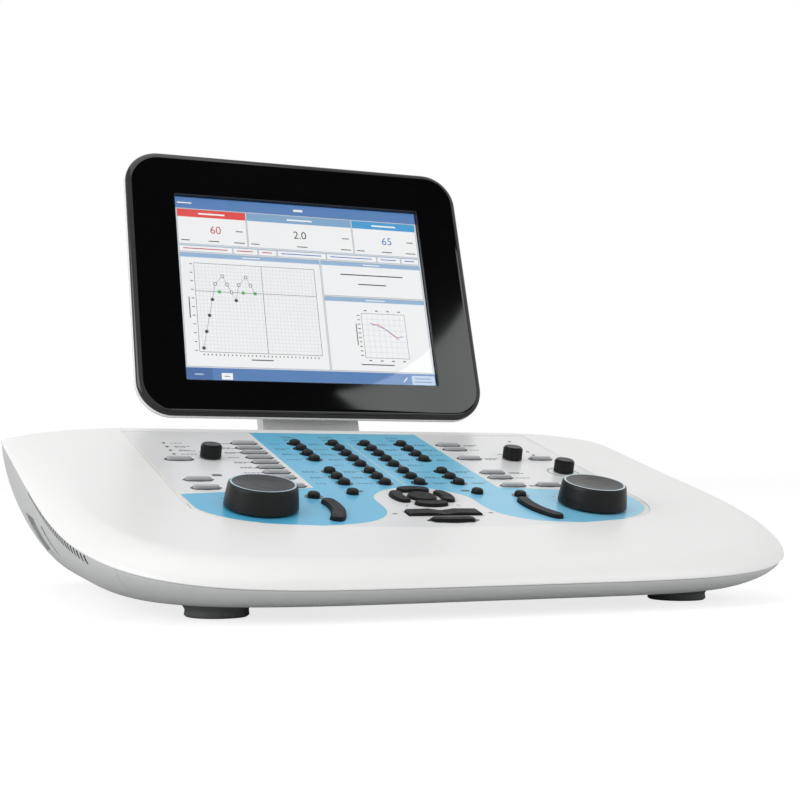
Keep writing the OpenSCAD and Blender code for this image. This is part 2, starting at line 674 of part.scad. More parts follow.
// Encoder body on the board, with a bushing round the shaft of the dial or knob
module encoder(size, shaft, top) difference() {
  union() {
    layer(board_top, board_top + encoder_h) square(size, center = true);
    layer(board_top, top) circle(shaft + bushing_wall);
  }
  layer(board_top + 1, top + 1) circle(shaft + shaft_gap);
}
module dial_encoders() color("darkgray") panel_frame() for (p = dials_at) translate(p)
  encoder(dial_encoder, dial_shaft_r, bushing_top);
module knob_encoders() color("darkgray") panel_frame() for (p = knobs_at) translate(p)
  encoder(knob_encoder, knob_shaft_r, bushing_top);
module key_windows() color("darkslategray") panel_frame() layer(overlay_top, overlay_top + window_t) {
  for (p = windowed) translate(p) difference() {
    eye_2d(window_l, window_d);
    circle(key_r + key_gap);
  }
  for (p = wide_keys) translate(p) bar_window_2d(wide_l, wide_d, 4, 3.4);
  translate(front_bar_at) bar_window_2d(front_bar_l, front_bar_d, 7, 4.6);
}
module panel_leds() color("honeydew") panel_frame() {
  for (p = concat(round_leds, eye_leds, [sensor_at])) translate(p)
    layer(tray_bottom + 0.2, overlay_top + 0.3) circle(led_r);
  for (p = eye_leds) translate(p) layer(overlay_top, overlay_top + led_lens_t) eye_2d(eye_led[0], eye_led[1]);
  translate(sensor_at) layer(overlay_top, overlay_top + led_lens_t) square(sensor_size, center = true);
}

module speaker() color("dimgray") translate([speaker_at[0], footprint_y + speaker_at[1], hull_floor + wall])
  rotate_extrude() polygon([[0, 5], [5, 3.4], [speaker_r - 5, 1.4], [speaker_r, 0], [speaker_r, 2.6],
    [speaker_r - 4, 4], [12, 13], [15, 13], [15, 20], [0, 20]]);

// ---- Hinge and neck ------------------------------------------------------------

hinge_cover_w = 94;
hinge_cover_end = 104;
neck_slot_y = [76, 99.5];
hinge_z = deck_h - hinge_drop;
block_w = 12;
block_x = neck_w / 2 + 1.5;
// Upper hinge in the display's own frame, then in the base frame
up_local = [hinge_back, housing_up - display_h / 2 + hinge_up];
up_y = footprint_y + screen_y + up_local[0] * cos(display_lean) + up_local[1] * sin(display_lean);
up_z = row_z + screen_z - up_local[0] * sin(display_lean) + up_local[1] * cos(display_lean);
low_y = footprint_y + hinge_y;
neck_run = norm([up_y - low_y, up_z - hinge_z]);
neck_lean = atan2(up_y - low_y, up_z - hinge_z);
neck_tongue_w = 46;
ear_w = 6;
ear_x = neck_tongue_w / 2 + 0.6;
plate_t = 2;
neck_shoulder = 12;
face_margin = 7;
face_h = 38;
face_at = 27;
face_bow = 120;
face_low = 11;
bracket_w = 90;
bracket_h = 18;
ear_r = 7;

module hinge_cover() color("white") difference() {
  translate([-hinge_cover_w / 2, 0, 0]) rotate([90, 0, 90]) linear_extrude(hinge_cover_w) polygon(concat(
    [for (d = [panel_rear * cos(slope) + 0.9, deck_bend_y, 40, 42, 44, bend_end_y, hinge_cover_end])
      [footprint_y + d, deck_z(footprint_y + d)]],
    [for (d = [hinge_cover_end, bend_end_y, 44, 42, 40, deck_bend_y, panel_rear * cos(slope) + 0.9])
      [footprint_y + d, deck_z(footprint_y + d) - wall]]));
  translate([-neck_w / 2 - 1.2, footprint_y + neck_slot_y[0], deck_h - 10])
    cube([neck_w + 2.4, neck_slot_y[1] - neck_slot_y[0], 20]);
}
module base_hinge_pin() color("lightslategray") translate([0, low_y, hinge_z]) rotate([0, 90, 0])
  cylinder(h = 2 * (block_x + block_w) + 2, r = pin_r, center = true);
module hinge_blocks() color("slategray") difference() {
  for (s = [-1, 1]) translate([s * (block_x + block_w / 2), footprint_y, 0]) {
    translate([-block_w / 2, 62, hull_floor + wall]) cube([block_w, 14, 95 - hull_floor - wall]);
    translate([-block_w / 2, 62, bay_z[1] + 8]) cube([block_w, 33, deck_h - wall - 0.2 - bay_z[1] - 8]);
  }
  translate([0, low_y, hinge_z]) rotate([0, 90, 0])
    cylinder(h = 2 * (block_x + block_w) + 2, r = pin_r, center = true);
}
// Runs from the lower hinge up to the upper one
module neck_frame() translate([0, low_y, hinge_z]) rotate([-neck_lean, 0, 0]) children();
module neck_arm() color("silver") neck_frame() difference() {
  union() {
    translate([-neck_w / 2, -neck_t / 2, 0]) cube([neck_w, neck_t, neck_run - neck_shoulder]);
    translate([-neck_tongue_w / 2, -neck_t / 2, 0]) cube([neck_tongue_w, neck_t, neck_run]);
    rotate([0, 90, 0]) cylinder(h = neck_w, r = neck_t / 2, center = true);
    translate([0, 0, neck_run]) rotate([0, 90, 0]) cylinder(h = neck_tongue_w, r = neck_t / 2, center = true);
  }
  rotate([0, 90, 0]) cylinder(h = neck_w + 2, r = pin_r + pin_gap, center = true);
  translate([0, 0, neck_run]) rotate([0, 90, 0])
    cylinder(h = neck_tongue_w + 2, r = pin_r + pin_gap, center = true);
  neck_pocket(0);
}
module neck_pocket(less) translate([0, -neck_t / 2 - 1 + less * 1.5, 0]) rotate([-90, 0, 0])
  linear_extrude(less > 0 ? 1.4 : 3) intersection() {
    translate([0, -face_at])
      square([neck_w - 2 * face_margin - less * 0.4, face_h - less * 0.4], center = true);
    translate([0, -face_bow - face_low]) circle(face_bow - less * 0.2, $fn = 120);
  }
module neck_face() color("darkgray") neck_frame() neck_pocket(1);
module display_hinge_pin() color("lightslategray") display_frame()
  translate([0, up_local[0], up_local[1]]) rotate([0, 90, 0])
  cylinder(h = 2 * (ear_x + ear_w) + 2, r = pin_r, center = true);

// ---- Display -------------------------------------------------------------------

bezel_t = 7;
trim_t = 1.2;
shell_t = bezel_t + trim_t;
window_depth = 2.4;
glass_t = 1.1;
glass_lap = 3.5;
lcd_lap = 6;
lcd_t = 6;
bezel_round = 6;
bezel_fall = 3.6;
function frame_ring(inset, y) = [for (p = plate_ring(display_w - 2 * inset, display_h - 2 * inset,
  max(display_r - inset, 3), y)) p + [0, 0, housing_up]];
module display_bezel() color("black") display_frame() loft_loop(concat(
  [frame_ring(0, bezel_t)],
  [for (a = [0:18:90]) frame_ring(bezel_round * (1 - cos(a)), bezel_fall * (1 - sin(a)))],
  [plate_ring(screen_w + 1, screen_h + 1, 1, 0), plate_ring(screen_w + 1, screen_h + 1, 1, window_depth),
   frame_ring(5, window_depth), frame_ring(display_wall, 5), frame_ring(display_wall, bezel_t)]), 48);
module display_trim() color("silver") display_frame() translate([0, shell_t, housing_up]) rotate([90, 0, 0])
  linear_extrude(trim_t) difference() {
    rounded_2d(display_w + 0.4, display_h + 0.4, display_r);
    rounded_2d(display_w - 4, display_h - 4, display_r - 2);
  }
module display_rear_shell() color("lightgray") display_frame() loft(concat(
  [frame_ring(30, display_t), frame_ring(15, display_t - 3), frame_ring(4, display_rim_t + 1.2),
   frame_ring(0.8, display_rim_t - 1.4), frame_ring(0, display_rim_t - 2.8), frame_ring(0, shell_t)],
  [frame_ring(display_wall, shell_t), frame_ring(display_wall, display_rim_t - 2.8),
   frame_ring(5.5, display_rim_t - 1.2), frame_ring(16, display_t - 3 - display_wall),
   frame_ring(31, display_t - display_wall)]), 48, true);
module display_glass() color("lightblue", 0.4) display_frame() translate([0, window_depth + glass_t / 2, 0])
  cube([screen_w + 2 * glass_lap, glass_t, screen_h + 2 * glass_lap], center = true);
module lcd_module() color("slateblue") display_frame() {
  translate([0, window_depth + glass_t + 0.1 + lcd_t / 2, 0])
    cube([screen_w + 2 * lcd_lap, lcd_t, screen_h + 2 * lcd_lap], center = true);
  translate([0, window_depth + glass_t + 8.1, 6]) cube([120, 4, 70], center = true);
}
module display_hinge_bracket() color("slategray") display_frame() translate([0, up_local[0], up_local[1]]) {
  translate([-bracket_w / 2, display_t - up_local[0], -bracket_h / 2]) cube([bracket_w, plate_t, bracket_h]);
  difference() {
    for (s = [-1, 1]) translate([s * (ear_x + ear_w / 2), 0, 0]) {
      rotate([0, 90, 0]) cylinder(h = ear_w, r = ear_r, center = true);
      translate([-ear_w / 2, display_t - up_local[0] + 1, -ear_r])
        cube([ear_w, up_local[0] - display_t - 1, 2 * ear_r]);
    }
    rotate([0, 90, 0]) cylinder(h = 2 * (ear_x + ear_w) + 2, r = pin_r, center = true);
  }
}

// ---- Dials, knobs and keys -----------------------------------------------------

ring_groove = [19.6, 20.8, 0.5];
module dial(p) panel_frame() translate([p[0], p[1], knob_gap + overlay_top]) {
  rotate_extrude($fn = 96)
    polygon([[dial_shaft_r + 3.4, 0], [dial_r - 0.8, 0], [dial_r, 0.8], [dial_r - 0.5, 6],
    [dial_r - 1.5, dial_h - 2.2], [dial_r - 1.9, dial_h - 0.7], [dial_r - 2.7, dial_h],
    [ring_groove[1], dial_h], [ring_groove[1], dial_h - ring_groove[2]],
    [ring_groove[0], dial_h - ring_groove[2]], [ring_groove[0], dial_h], [18, dial_h - 0.2],
    [9, dial_h - 1], [0, dial_h - 1.2], [0, 2], [dial_shaft_r + 3.4, 2]]);
  translate([0, 0, shaft_start]) cylinder(h = shaft_l, r = dial_shaft_r);
}
module dial_ring(p) panel_frame() translate([p[0], p[1], knob_gap + overlay_top + dial_h - ring_groove[2]])
  rotate_extrude($fn = 96) translate([ring_groove[0], 0])
    square([ring_groove[1] - ring_groove[0], ring_groove[2]]);
// Outline of a ribbed grip
rib_n = 24;
rib_t = 0.35;
function ribbed(r) = [for (i = [0:4 * rib_n - 1])
  let (a = i * 90 / rib_n) (i % 4 < 2 ? r : r - rib_t) * [cos(a), sin(a)]];
module knob(p) panel_frame() translate([p[0], p[1], knob_gap + overlay_top]) {
  difference() {
    union() {
      cylinder(h = 1, r = knob_r);
      layer(0.5, knob_h - 1.4) polygon(ribbed(knob_r - 0.15));
      layer(1.5, knob_h - 0.6) circle(knob_r - 0.7);
      layer(2, knob_h) circle(knob_r - 1.4);
    }
    translate([0, 0, -1]) cylinder(h = 3, r = knob_shaft_r + 2.6);
  }
  translate([0, 0, shaft_start]) cylinder(h = shaft_l, r = knob_shaft_r);
}
module left_dial() color("black") dial(dials_at[0]);
module right_dial() color("black") dial(dials_at[1]);
module left_dial_ring() color("lightsteelblue") dial_ring(dials_at[0]);
module right_dial_ring() color("lightsteelblue") dial_ring(dials_at[1]);
module left_knob() color("black") knob(left_knob_at);
module right_knob() color("black") knob(right_knob_at);
module right_front_knob() color("black") knob(right_front_knob_at);

module left_bar_key() color("black") panel_frame() bar_place(-1)
  arc_key(bar_ring, bar_w, bar_from, bar_to, 2.4);
module right_bar_key() color("black") panel_frame() bar_place(1)
  arc_key(bar_ring, bar_w, bar_from, bar_to, 2.4);
module nav_key(a) color("black") panel_frame() translate(nav_at) rotate(a)
  arc_key(nav_r - nav_w / 2, nav_w, -nav_half, nav_half, 1.9);
module nav_right_key() nav_key(0);
module nav_up_key() nav_key(90);
module nav_left_key() nav_key(180);
module nav_down_key() nav_key(270);
module nav_centre_key() color("black") panel_frame() translate(nav_at) {
  layer(key_root, 1) circle(nav_mid_r);
  layer(1, 1.6) circle(nav_mid_r - 0.8);
  layer(key_foot_top - key_foot_t, key_foot_top) circle(nav_mid_r + foot_out);
  layer(stem_end, key_foot_top - key_foot_t + eps) circle(stem_r);
}
module rocker_key() color("black") panel_frame() translate([rocker_at[0], rocker_at[1], 0]) {
  rotate([90, 0, 0]) linear_extrude(rocker_d - 1, center = true)
    polygon([[-rocker_l / 2 + 0.6, tray_bottom + 0.4],
    [rocker_l / 2 - 0.6, tray_bottom + 0.4], [rocker_l / 2 - 0.6, 0.9], [rocker_l / 2 - 2, 1.5], [9, 1.7],
    [0, 0.6], [-9, 1.7], [-rocker_l / 2 + 2, 1.5], [-rocker_l / 2 + 0.6, 0.9]]);
  translate([0, 0, rocker_axle_n]) rotate([90, 0, 0])
    cylinder(h = rocker_d + 7, r = rocker_axle_r, center = true);
}
module front_bar_key() color("black") panel_frame() translate(front_bar_at) {
  layer(key_root, 1.2) pill_2d(front_bar_l, front_bar_d);
  layer(1.2, 1.7) pill_2d(front_bar_l - 1.6, front_bar_d - 1.6);
  layer(key_foot_top - key_foot_t, key_foot_top)
    pill_2d(front_bar_l + 2 * foot_out, front_bar_d + 2 * foot_out);
  layer(stem_end, key_foot_top - key_foot_t + eps) circle(stem_r);
}
module black_keys(places) color("black") panel_frame() keys_at(places) round_key();
module left_round_key() black_keys([[-round_at[0], round_at[1]]]);
module right_round_key() black_keys([round_at]);
module left_plain_key() black_keys([plain[0]]);
module right_plain_key() black_keys([plain[1]]);
module left_outer_keys() black_keys(left_outer);
module left_inner_keys() black_keys(left_inner);
module right_inner_keys() black_keys(right_inner);
module right_outer_keys() black_keys(right_outer);
module left_lower_keys() black_keys(left_lower);
module right_lower_keys() black_keys(right_lower);
module gray_keys(places) color("darkgray") panel_frame() keys_at(places) wide_key();
module left_wide_keys() gray_keys(left_wide);
module left_edge_keys() gray_keys(left_edge);
module right_wide_keys() gray_keys(right_wide);

top_cover();
bottom_cover();
left_side_cover();
right_side_cover();
connector_bay();
rear_sockets();
front_feet();
rear_feet();
case_screws();
control_overlay();
panel_tray();
main_board();
key_switches();
dial_encoders();
knob_encoders();
key_windows();
panel_leds();
speaker();
hinge_cover();
base_hinge_pin();
hinge_blocks();
neck_arm();
neck_face();
display_hinge_pin();
display_bezel();
display_glass();
display_trim();
display_rear_shell();
lcd_module();
display_hinge_bracket();
left_dial();
left_dial_ring();
right_dial();
right_dial_ring();
left_knob();
right_knob();
right_front_knob();
left_bar_key();
right_bar_key();
nav_up_key();
nav_right_key();
nav_down_key();
nav_left_key();
nav_centre_key();
rocker_key();
front_bar_key();
left_round_key();
left_plain_key();
right_plain_key();
right_round_key();
left_outer_keys();
left_inner_keys();
right_inner_keys();
right_outer_keys();
left_lower_keys();
right_lower_keys();
left_wide_keys();
left_edge_keys();
right_wide_keys();
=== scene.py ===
"""Desktop audiometer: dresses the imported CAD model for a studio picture.

Sizes are in millimetres in the same frame as the CAD model, +Z up and the front
towards -Y. The key panel and the display each have a frame of their own.
"""

import json
import math

import bmesh
import bpy
from mathutils import Matrix, Vector


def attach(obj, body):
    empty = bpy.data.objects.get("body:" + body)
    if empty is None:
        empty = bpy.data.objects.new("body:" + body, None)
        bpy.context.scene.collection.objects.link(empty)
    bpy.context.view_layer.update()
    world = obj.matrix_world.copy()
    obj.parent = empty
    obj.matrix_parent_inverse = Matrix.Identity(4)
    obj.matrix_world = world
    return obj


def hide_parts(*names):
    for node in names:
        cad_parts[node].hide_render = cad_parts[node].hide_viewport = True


bl_info = {
    "name": "Desktop Audiometer",
    "version": (1, 0, 0),
    "blender": (4, 5, 0),
    "location": "View3D > Sidebar > Audiometer",
    "description": "Dresses the CAD model of a desktop audiometer and sets up its studio",
    "category": "Object",
}

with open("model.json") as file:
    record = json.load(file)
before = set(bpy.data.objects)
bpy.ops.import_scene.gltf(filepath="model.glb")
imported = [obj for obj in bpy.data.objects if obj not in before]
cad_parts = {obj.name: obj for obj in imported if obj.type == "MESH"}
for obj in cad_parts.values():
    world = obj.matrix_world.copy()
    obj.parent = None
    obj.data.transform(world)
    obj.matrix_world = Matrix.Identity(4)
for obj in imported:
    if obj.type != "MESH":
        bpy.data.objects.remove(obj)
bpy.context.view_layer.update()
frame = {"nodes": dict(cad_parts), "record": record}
MM = 0.001

# ---- Sizes shared with the CAD model, in millimetres ---------------------------

PANEL_ORIGIN = (0, 63.6655, 102.2957)
SLOPE = math.radians(15)
SCREEN_UP_BACK = (93.7, 125.7)
LEAN = math.radians(17.6)
HALF_W, MID_Y, HALF_FRONT, HALF_REAR = 248, -11.6, 257.4, 137
OVAL_N = 4.9
OVAL_POWER = 2 / OVAL_N
DECK_H, BEND_Y, BEND_R = 113.5, 38, 30
RIM_H, EDGE_H, EDGE_IN, EDGE_MORE, EDGE_BEND = 11.9, 11.2, 19, 80, 1.18
EDGE_FROM, EDGE_TO, RIM_LIP = -185, 60, 0.6
WALL, FLOOR_Z, HULL_STEP, COVER_GAP = 2.6, 7.6, 1.2, 0.4
HULL_SIDE, HULL_END, HULL_SLANT, HULL_IN, HULL_DOWN = 44, 26, 0.15, 1.26, 1.32
SIDE_SPLIT, REAR_REACH, JOINT_GAP = 198, 125.4, 0.3
PANEL_W, PANEL_REAR, PANEL_FRONT, PANEL_R, PANEL_BOW = 328, 34.2, 204.8, 45, 620
CUT_BELOW, CUT_ABOVE = 12, 8
NOTCH_HALF, NOTCH_FRONT, NOTCH_REAR = 47.3, PANEL_REAR - 6, 104.3
SHEET_N = -0.2
ROW_PITCH, BLOCK_GAP, INNER_X, OUTER_X, KEY_R, KEY_GAP = 14.65, 3, 12.8, 42.6, 4.1, 0.4
WIDE_X, WIDE_PITCH, WIDE_LAST, WIDE_L, WIDE_D, EDGE_X = 81.9, 13.1, -112.3, 17.5, 5, 141
DIALS = [(-118, -160.2), (118, -160.2)]
DIAL_SHAFT_R, BAR_RING, BAR_WIDTH, BAR_TURN = 4.8, 48.5, 9.8, (-32, 11)
KNOBS = [(-117.4, -39.5), (117.4, -39.5), (141.5, -76.5)]
NAV = (0, -139.7)
ROCKER = (0, -175.3)
EYE_LAMPS, LAMP_R = [(-39, -123.9), (39, -123.9)], 1.4
LEFT_LAMPS_V = (0.1, -10.2, -20.3, -30.4)
SCREEN_W, SCREEN_H = 211.2, 158.4
DISPLAY_W, DISPLAY_H, DISPLAY_R, HOUSING_UP = 290, 225, 28, 4.4
WINDOW_DEPTH, GLASS_T, BAND_DEPTH = 2.4, 1.1, 4.5
BEZEL_IN, BEZEL_FALL, BEZEL_BACK, BACK_AT = 6, 3.6, 7, 8.2
SCREWS = [(178, -20), (-178, -20), (108, -212), (-108, -212), (118, 78), (-118, 78)]
SCREW_R, SLOT_PITCH, SLOT_W, SOUND_X, SOUND_V = 3.3, 6, 2.4, -70, (-46, -14)
BAY_Y, BAY_W, BAY_Z = 84, 196, (22, 84)
JACK_X, JACK_Z, JACK_R = (-28, -10, 10, 28), (38, 62), 3.25
INLET, PORT = (72, 50), (-72, 50)


def world_point(x, y, z):
    """Point in metres from sizes in millimetres."""
    return Vector((x, y, z)) * MM


def polar(x, y, r, degrees):
    """Point at a distance and an angle from x, y."""
    return x + r * math.cos(math.radians(degrees)), y + r * math.sin(math.radians(degrees))


def panel_point(x, v, n=0.0):
    """Point in metres from panel sizes: x right, v up the slope, n out of the panel."""
    y = PANEL_ORIGIN[1] + v * math.cos(SLOPE) - n * math.sin(SLOPE)
    z = PANEL_ORIGIN[2] + v * math.sin(SLOPE) + n * math.cos(SLOPE)
    return world_point(x, y, z)


def display_point(x, depth, up):
    """Point in metres from display sizes, measured from the middle of the screen."""
    y = PANEL_ORIGIN[1] + SCREEN_UP_BACK[0] + depth * math.cos(LEAN) + up * math.sin(LEAN)
    z = PANEL_ORIGIN[2] + SCREEN_UP_BACK[1] - depth * math.sin(LEAN) + up * math.cos(LEAN)
    return world_point(x, y, z)


def display_block_point(x, up, depth):
    """The same for blocks and prisms, whose height is the depth."""
    return display_point(x, depth, up)


def row_v(i):
    """Place up the panel of a row of small keys."""
    return -i * ROW_PITCH - (BLOCK_GAP if i > 4 else 0)


ROUND_KEYS = (
    [(s * OUTER_X, row_v(i)) for s in (-1, 1) for i in (0, 1, 2, 3, 5, 6, 7)]
    + [(s * INNER_X, row_v(i)) for s in (-1, 1) for i in range(8)]
    + [(-75.1, -136.6), (75.1, -136.6)]
)
PLAIN_KEYS = [(-45.6, -129.6), (45.6, -129.6)]
LEFT_WIDE = [(-WIDE_X, -i * WIDE_PITCH) for i in range(8)] + [(-WIDE_X, WIDE_LAST)]
EDGE_WIDE = [(-EDGE_X, v) for v in (-44.7, -96, -115.6)]
RIGHT_WIDE = [(WIDE_X, -i * WIDE_PITCH) for i in (0, 1, 3, 6, 7)] + [(WIDE_X, WIDE_LAST)]
FAR_WIDE = [(110.3, WIDE_LAST + 1), (EDGE_X + 0.8, -3 * WIDE_PITCH)]

# ---- Node and material helpers --------------------------------------------------


def linear(code):
    """Linear colour of an sRGB hex code."""
    parts = [int(code[i : i + 2], 16) / 255 for i in (1, 3, 5)]
    return [p / 12.92 if p <= 0.04045 else ((p + 0.055) / 1.055) ** 2.4 for p in parts] + [1.0]


def add(tree, kind, settings=(), inputs=()):
    """Adds one node, applies its settings, and sets or links its inputs."""
    made = tree.nodes.new(kind)
    for key, value in dict(settings).items():
        setattr(made, key, value)
    for key, value in dict(inputs).items():
        socket = made.inputs[key]
        if isinstance(value, bpy.types.NodeSocket):
            tree.links.new(value, socket)
        else:
            socket.default_value = value
    return made


def new_shader(name, inputs):
    """A material with one Principled shader, whose given sockets are set."""
    made = bpy.data.materials.new(name)
    made.use_nodes = True
    tree = made.node_tree
    shader = tree.nodes["Principled BSDF"]
    for key, value in inputs.items():
        shader.inputs[key].default_value = value
    return made, tree, shader


def speckle(tree, size_mm, detail=2.0, stretch=(1, 1, 1)):
    """Noise whose grains are size_mm apart, and its value."""
    place = add(tree, "ShaderNodeTexCoord").outputs["Object"]
    fitted = add(tree, "ShaderNodeMapping", inputs={"Vector": place, "Scale": stretch})
    noise = add(tree, "ShaderNodeTexNoise", inputs={
        "Vector": fitted.outputs["Vector"], "Scale": 1 / (size_mm * MM), "Detail": detail})
    return noise.outputs["Fac"]


def vary(tree, shader, light, dark, cloud_mm, rough, spread):
    """Slow drift of colour and gloss, as a moulding has along its flow."""
    drift = speckle(tree, cloud_mm, 3)
    tone = add(tree, "ShaderNodeMix", {"data_type": "RGBA"}, {
        "Factor": drift, "A": linear(dark), "B": linear(light)})
    tree.links.new(tone.outputs["Result"], shader.inputs["Base Color"])
    gloss = add(tree, "ShaderNodeMapRange", inputs={
        "Value": drift, "From Min": 0.3, "From Max": 0.7,
        "To Min": rough - spread, "To Max": rough + spread})
    tree.links.new(gloss.outputs["Result"], shader.inputs["Roughness"])


def raise_grain(tree, shader, height, depth_mm, strength):
    """Surface relief of the given depth."""
    bump = add(tree, "ShaderNodeBump", inputs={
        "Height": height, "Distance": depth_mm * MM, "Strength": strength})
    tree.links.new(bump.outputs["Normal"], shader.inputs["Normal"])


def moulded_plastic(name, light, dark, rough, spread, cloud_mm, grain_mm, depth_mm, strength,
                    ior=1.5, coat=0.0, specular=0.5):
    """Injection-moulded plastic: a drifting tone and gloss over the grain of the tool."""
    made, tree, shader = new_shader(name, {
        "IOR": ior, "Coat Weight": coat, "Coat Roughness": 0.08, "Specular IOR Level": specular})
    vary(tree, shader, light, dark, cloud_mm, rough, spread)
    raise_grain(tree, shader, speckle(tree, grain_mm, 2), depth_mm, strength)
    return made


def finishes(case, display):
    """Every finish of the audiometer, by the material slots of the record."""
    # White ABS from a fine spark-eroded tool: soft broad highlights, hardly any grain to the
    # eye. The real grain of about 0.1 mm is drawn at 1.2 mm so that it shows at all.
    white = moulded_plastic("white_abs_satin", case.white, case.white_shade,
        rough=0.36, spread=0.04, cloud_mm=90, grain_mm=1.2, depth_mm=0.02, strength=0.25)
    # Grey ABS with a coarser texture: a matt lower shell that takes shadow evenly.
    gray = moulded_plastic("gray_abs_textured", "#c2c4c3", "#b8baba",
        rough=0.5, spread=0.05, cloud_mm=70, grain_mm=1.4, depth_mm=0.05, strength=0.35)
    # Dark grey ABS of the socket bay: the same tool texture, darker. The cut walls of the vent slots
    # take it too, as painted shade.
    bay = moulded_plastic("bay_abs_and_vent_painted_shade", "#5a5c5c", "#525454",
        rough=0.55, spread=0.05, cloud_mm=50, grain_mm=1.4, depth_mm=0.05, strength=0.35)
    # Light grey ABS of the panel tray, moulded satin.
    tray = moulded_plastic("tray_abs_satin", "#c6c8c8", "#bdbfbf",
        rough=0.45, spread=0.04, cloud_mm=60, grain_mm=1.2, depth_mm=0.03, strength=0.3)
    # Black ABS turned smooth on the dials and knobs: deep black with a soft sheen on edges.
    black = moulded_plastic("black_abs_satin", "#101112", "#0a0b0c",
        rough=0.36, spread=0.06, cloud_mm=25, grain_mm=0.9, depth_mm=0.02, strength=0.3,
        specular=0.25)
    # Black silicone rubber of the keys, moulded: matt, with a faint dusty bloom.
    keys = moulded_plastic("black_silicone_keys", "#121315", "#0b0c0d",
        rough=0.5, spread=0.06, cloud_mm=12, grain_mm=0.8, depth_mm=0.03, strength=0.4,
        ior=1.41, specular=0.3)
    # Grey silicone rubber of the wide keys, moulded matt.
    wide = moulded_plastic("gray_silicone_keys", "#bcbec0", "#aeb0b2",
        rough=0.48, spread=0.05, cloud_mm=14, grain_mm=0.8, depth_mm=0.03, strength=0.35,
        ior=1.41)
    # Moulded rubber of the feet: dark, dull, with a coarse skin.
    rubber = moulded_plastic("foot_rubber", "#6a6f6d", "#565b59",
        rough=0.72, spread=0.06, cloud_mm=15, grain_mm=1.0, depth_mm=0.06, strength=0.5,
        ior=1.52)
    # Polished black PMMA frame of the display: mirror-like, with faint wiping marks.
    gloss = moulded_plastic("black_pmma_polished", display.bezel, "#040405",
        rough=0.045, spread=0.02, cloud_mm=120, grain_mm=40, depth_mm=0.01, strength=0.06,
        ior=1.49)
    # Smoked polycarbonate windows round the keys: dark and glossy.
    smoked = moulded_plastic("smoked_polycarbonate", "#3a3d3f", "#2c2e30",
        rough=0.16, spread=0.03, cloud_mm=6, grain_mm=0.7, depth_mm=0.01, strength=0.15,
        ior=1.58)
    # Smoky frosted acrylic lamp lenses, dark until they are lit from behind.
    lens = moulded_plastic("lamp_acrylic_smoky", "#5d615e", "#4d514e",
        rough=0.3, spread=0.04, cloud_mm=2, grain_mm=0.5, depth_mm=0.02, strength=0.2,
        ior=1.49)
    # Silver lacquer sprayed on the neck: fine metallic flakes drawn at 0.8 mm.
    neck = moulded_plastic("silver_lacquer_sprayed", "#f4f5f6", "#e9eaeb",
        rough=0.3, spread=0.05, cloud_mm=2.0, grain_mm=0.8, depth_mm=0.01, strength=0.2,
        coat=0.3)
    # Light grey ABS cover of the neck, moulded with a fine matt texture.
    face = moulded_plastic("neck_cover_abs", "#f2f3f4", "#e8e9ea",
        rough=0.42, spread=0.05, cloud_mm=40, grain_mm=1.0, depth_mm=0.03, strength=0.3)
    # Circuit board laminate under green solder mask, with the weave just showing.
    board = moulded_plastic("solder_mask_laminate", "#1e6b3c", "#175831",
        rough=0.3, spread=0.05, cloud_mm=3, grain_mm=0.9, depth_mm=0.02, strength=0.3,
        coat=0.4)
    # Back of the liquid crystal panel: dark coated glass in a pressed frame.
    lcd = moulded_plastic("lcd_panel_glass", "#3c4046", "#2f3338",
        rough=0.25, spread=0.04, cloud_mm=30, grain_mm=0.8, depth_mm=0.01, strength=0.1, ior=1.52)
    return {
        "case_white": white, "case_gray": gray, "bay_gray": bay, "tray_gray": tray,
        "black_plastic": black, "key_black": keys, "key_gray": wide, "rubber": rubber,
        "gloss_black": gloss, "smoked_window": smoked, "led_lens": lens, "neck_silver": neck,
        "neck_gray": face, "board_green": board, "lcd": lcd, "screen_glass": cover_glass(),
        "steel": turned_metal("stainless_steel_brushed", "#b9bbbe", 0.3),
        "dial_ring": turned_metal("pale_aluminium_anodised", "#bcd6e2", 0.26),
        "panel_print": printed_film("printed_film_gray", "#ececed", "#e4e5e6"),
    }


def turned_metal(name, colour, rough):
    """Metal brushed along X: fine lines 0.3 mm apart, drawn at 0.8 mm so that they show."""
    made, tree, shader = new_shader(name, {
        "Metallic": 1.0, "Base Color": linear(colour), "Anisotropic": 0.4})
    lines = speckle(tree, 0.8, 2, (0.05, 1, 1))
    gloss = add(tree, "ShaderNodeMapRange", inputs={
        "Value": lines, "To Min": rough - 0.1, "To Max": rough + 0.12})
    tree.links.new(gloss.outputs["Result"], shader.inputs["Roughness"])
    raise_grain(tree, shader, lines, 0.01, 0.3)
    return made


FILM = {"IOR": 1.57, "Coat Weight": 0.15, "Coat Roughness": 0.25}


def printed_film(name, light, dark):
    """Polyester film screen-printed on its back: an even satin face with a fine pebble."""
    made, tree, shader = new_shader(name, FILM)
    vary(tree, shader, light, dark, 80, 0.33, 0.04)
    raise_grain(tree, shader, speckle(tree, 0.9, 2), 0.015, 0.3)
    return made


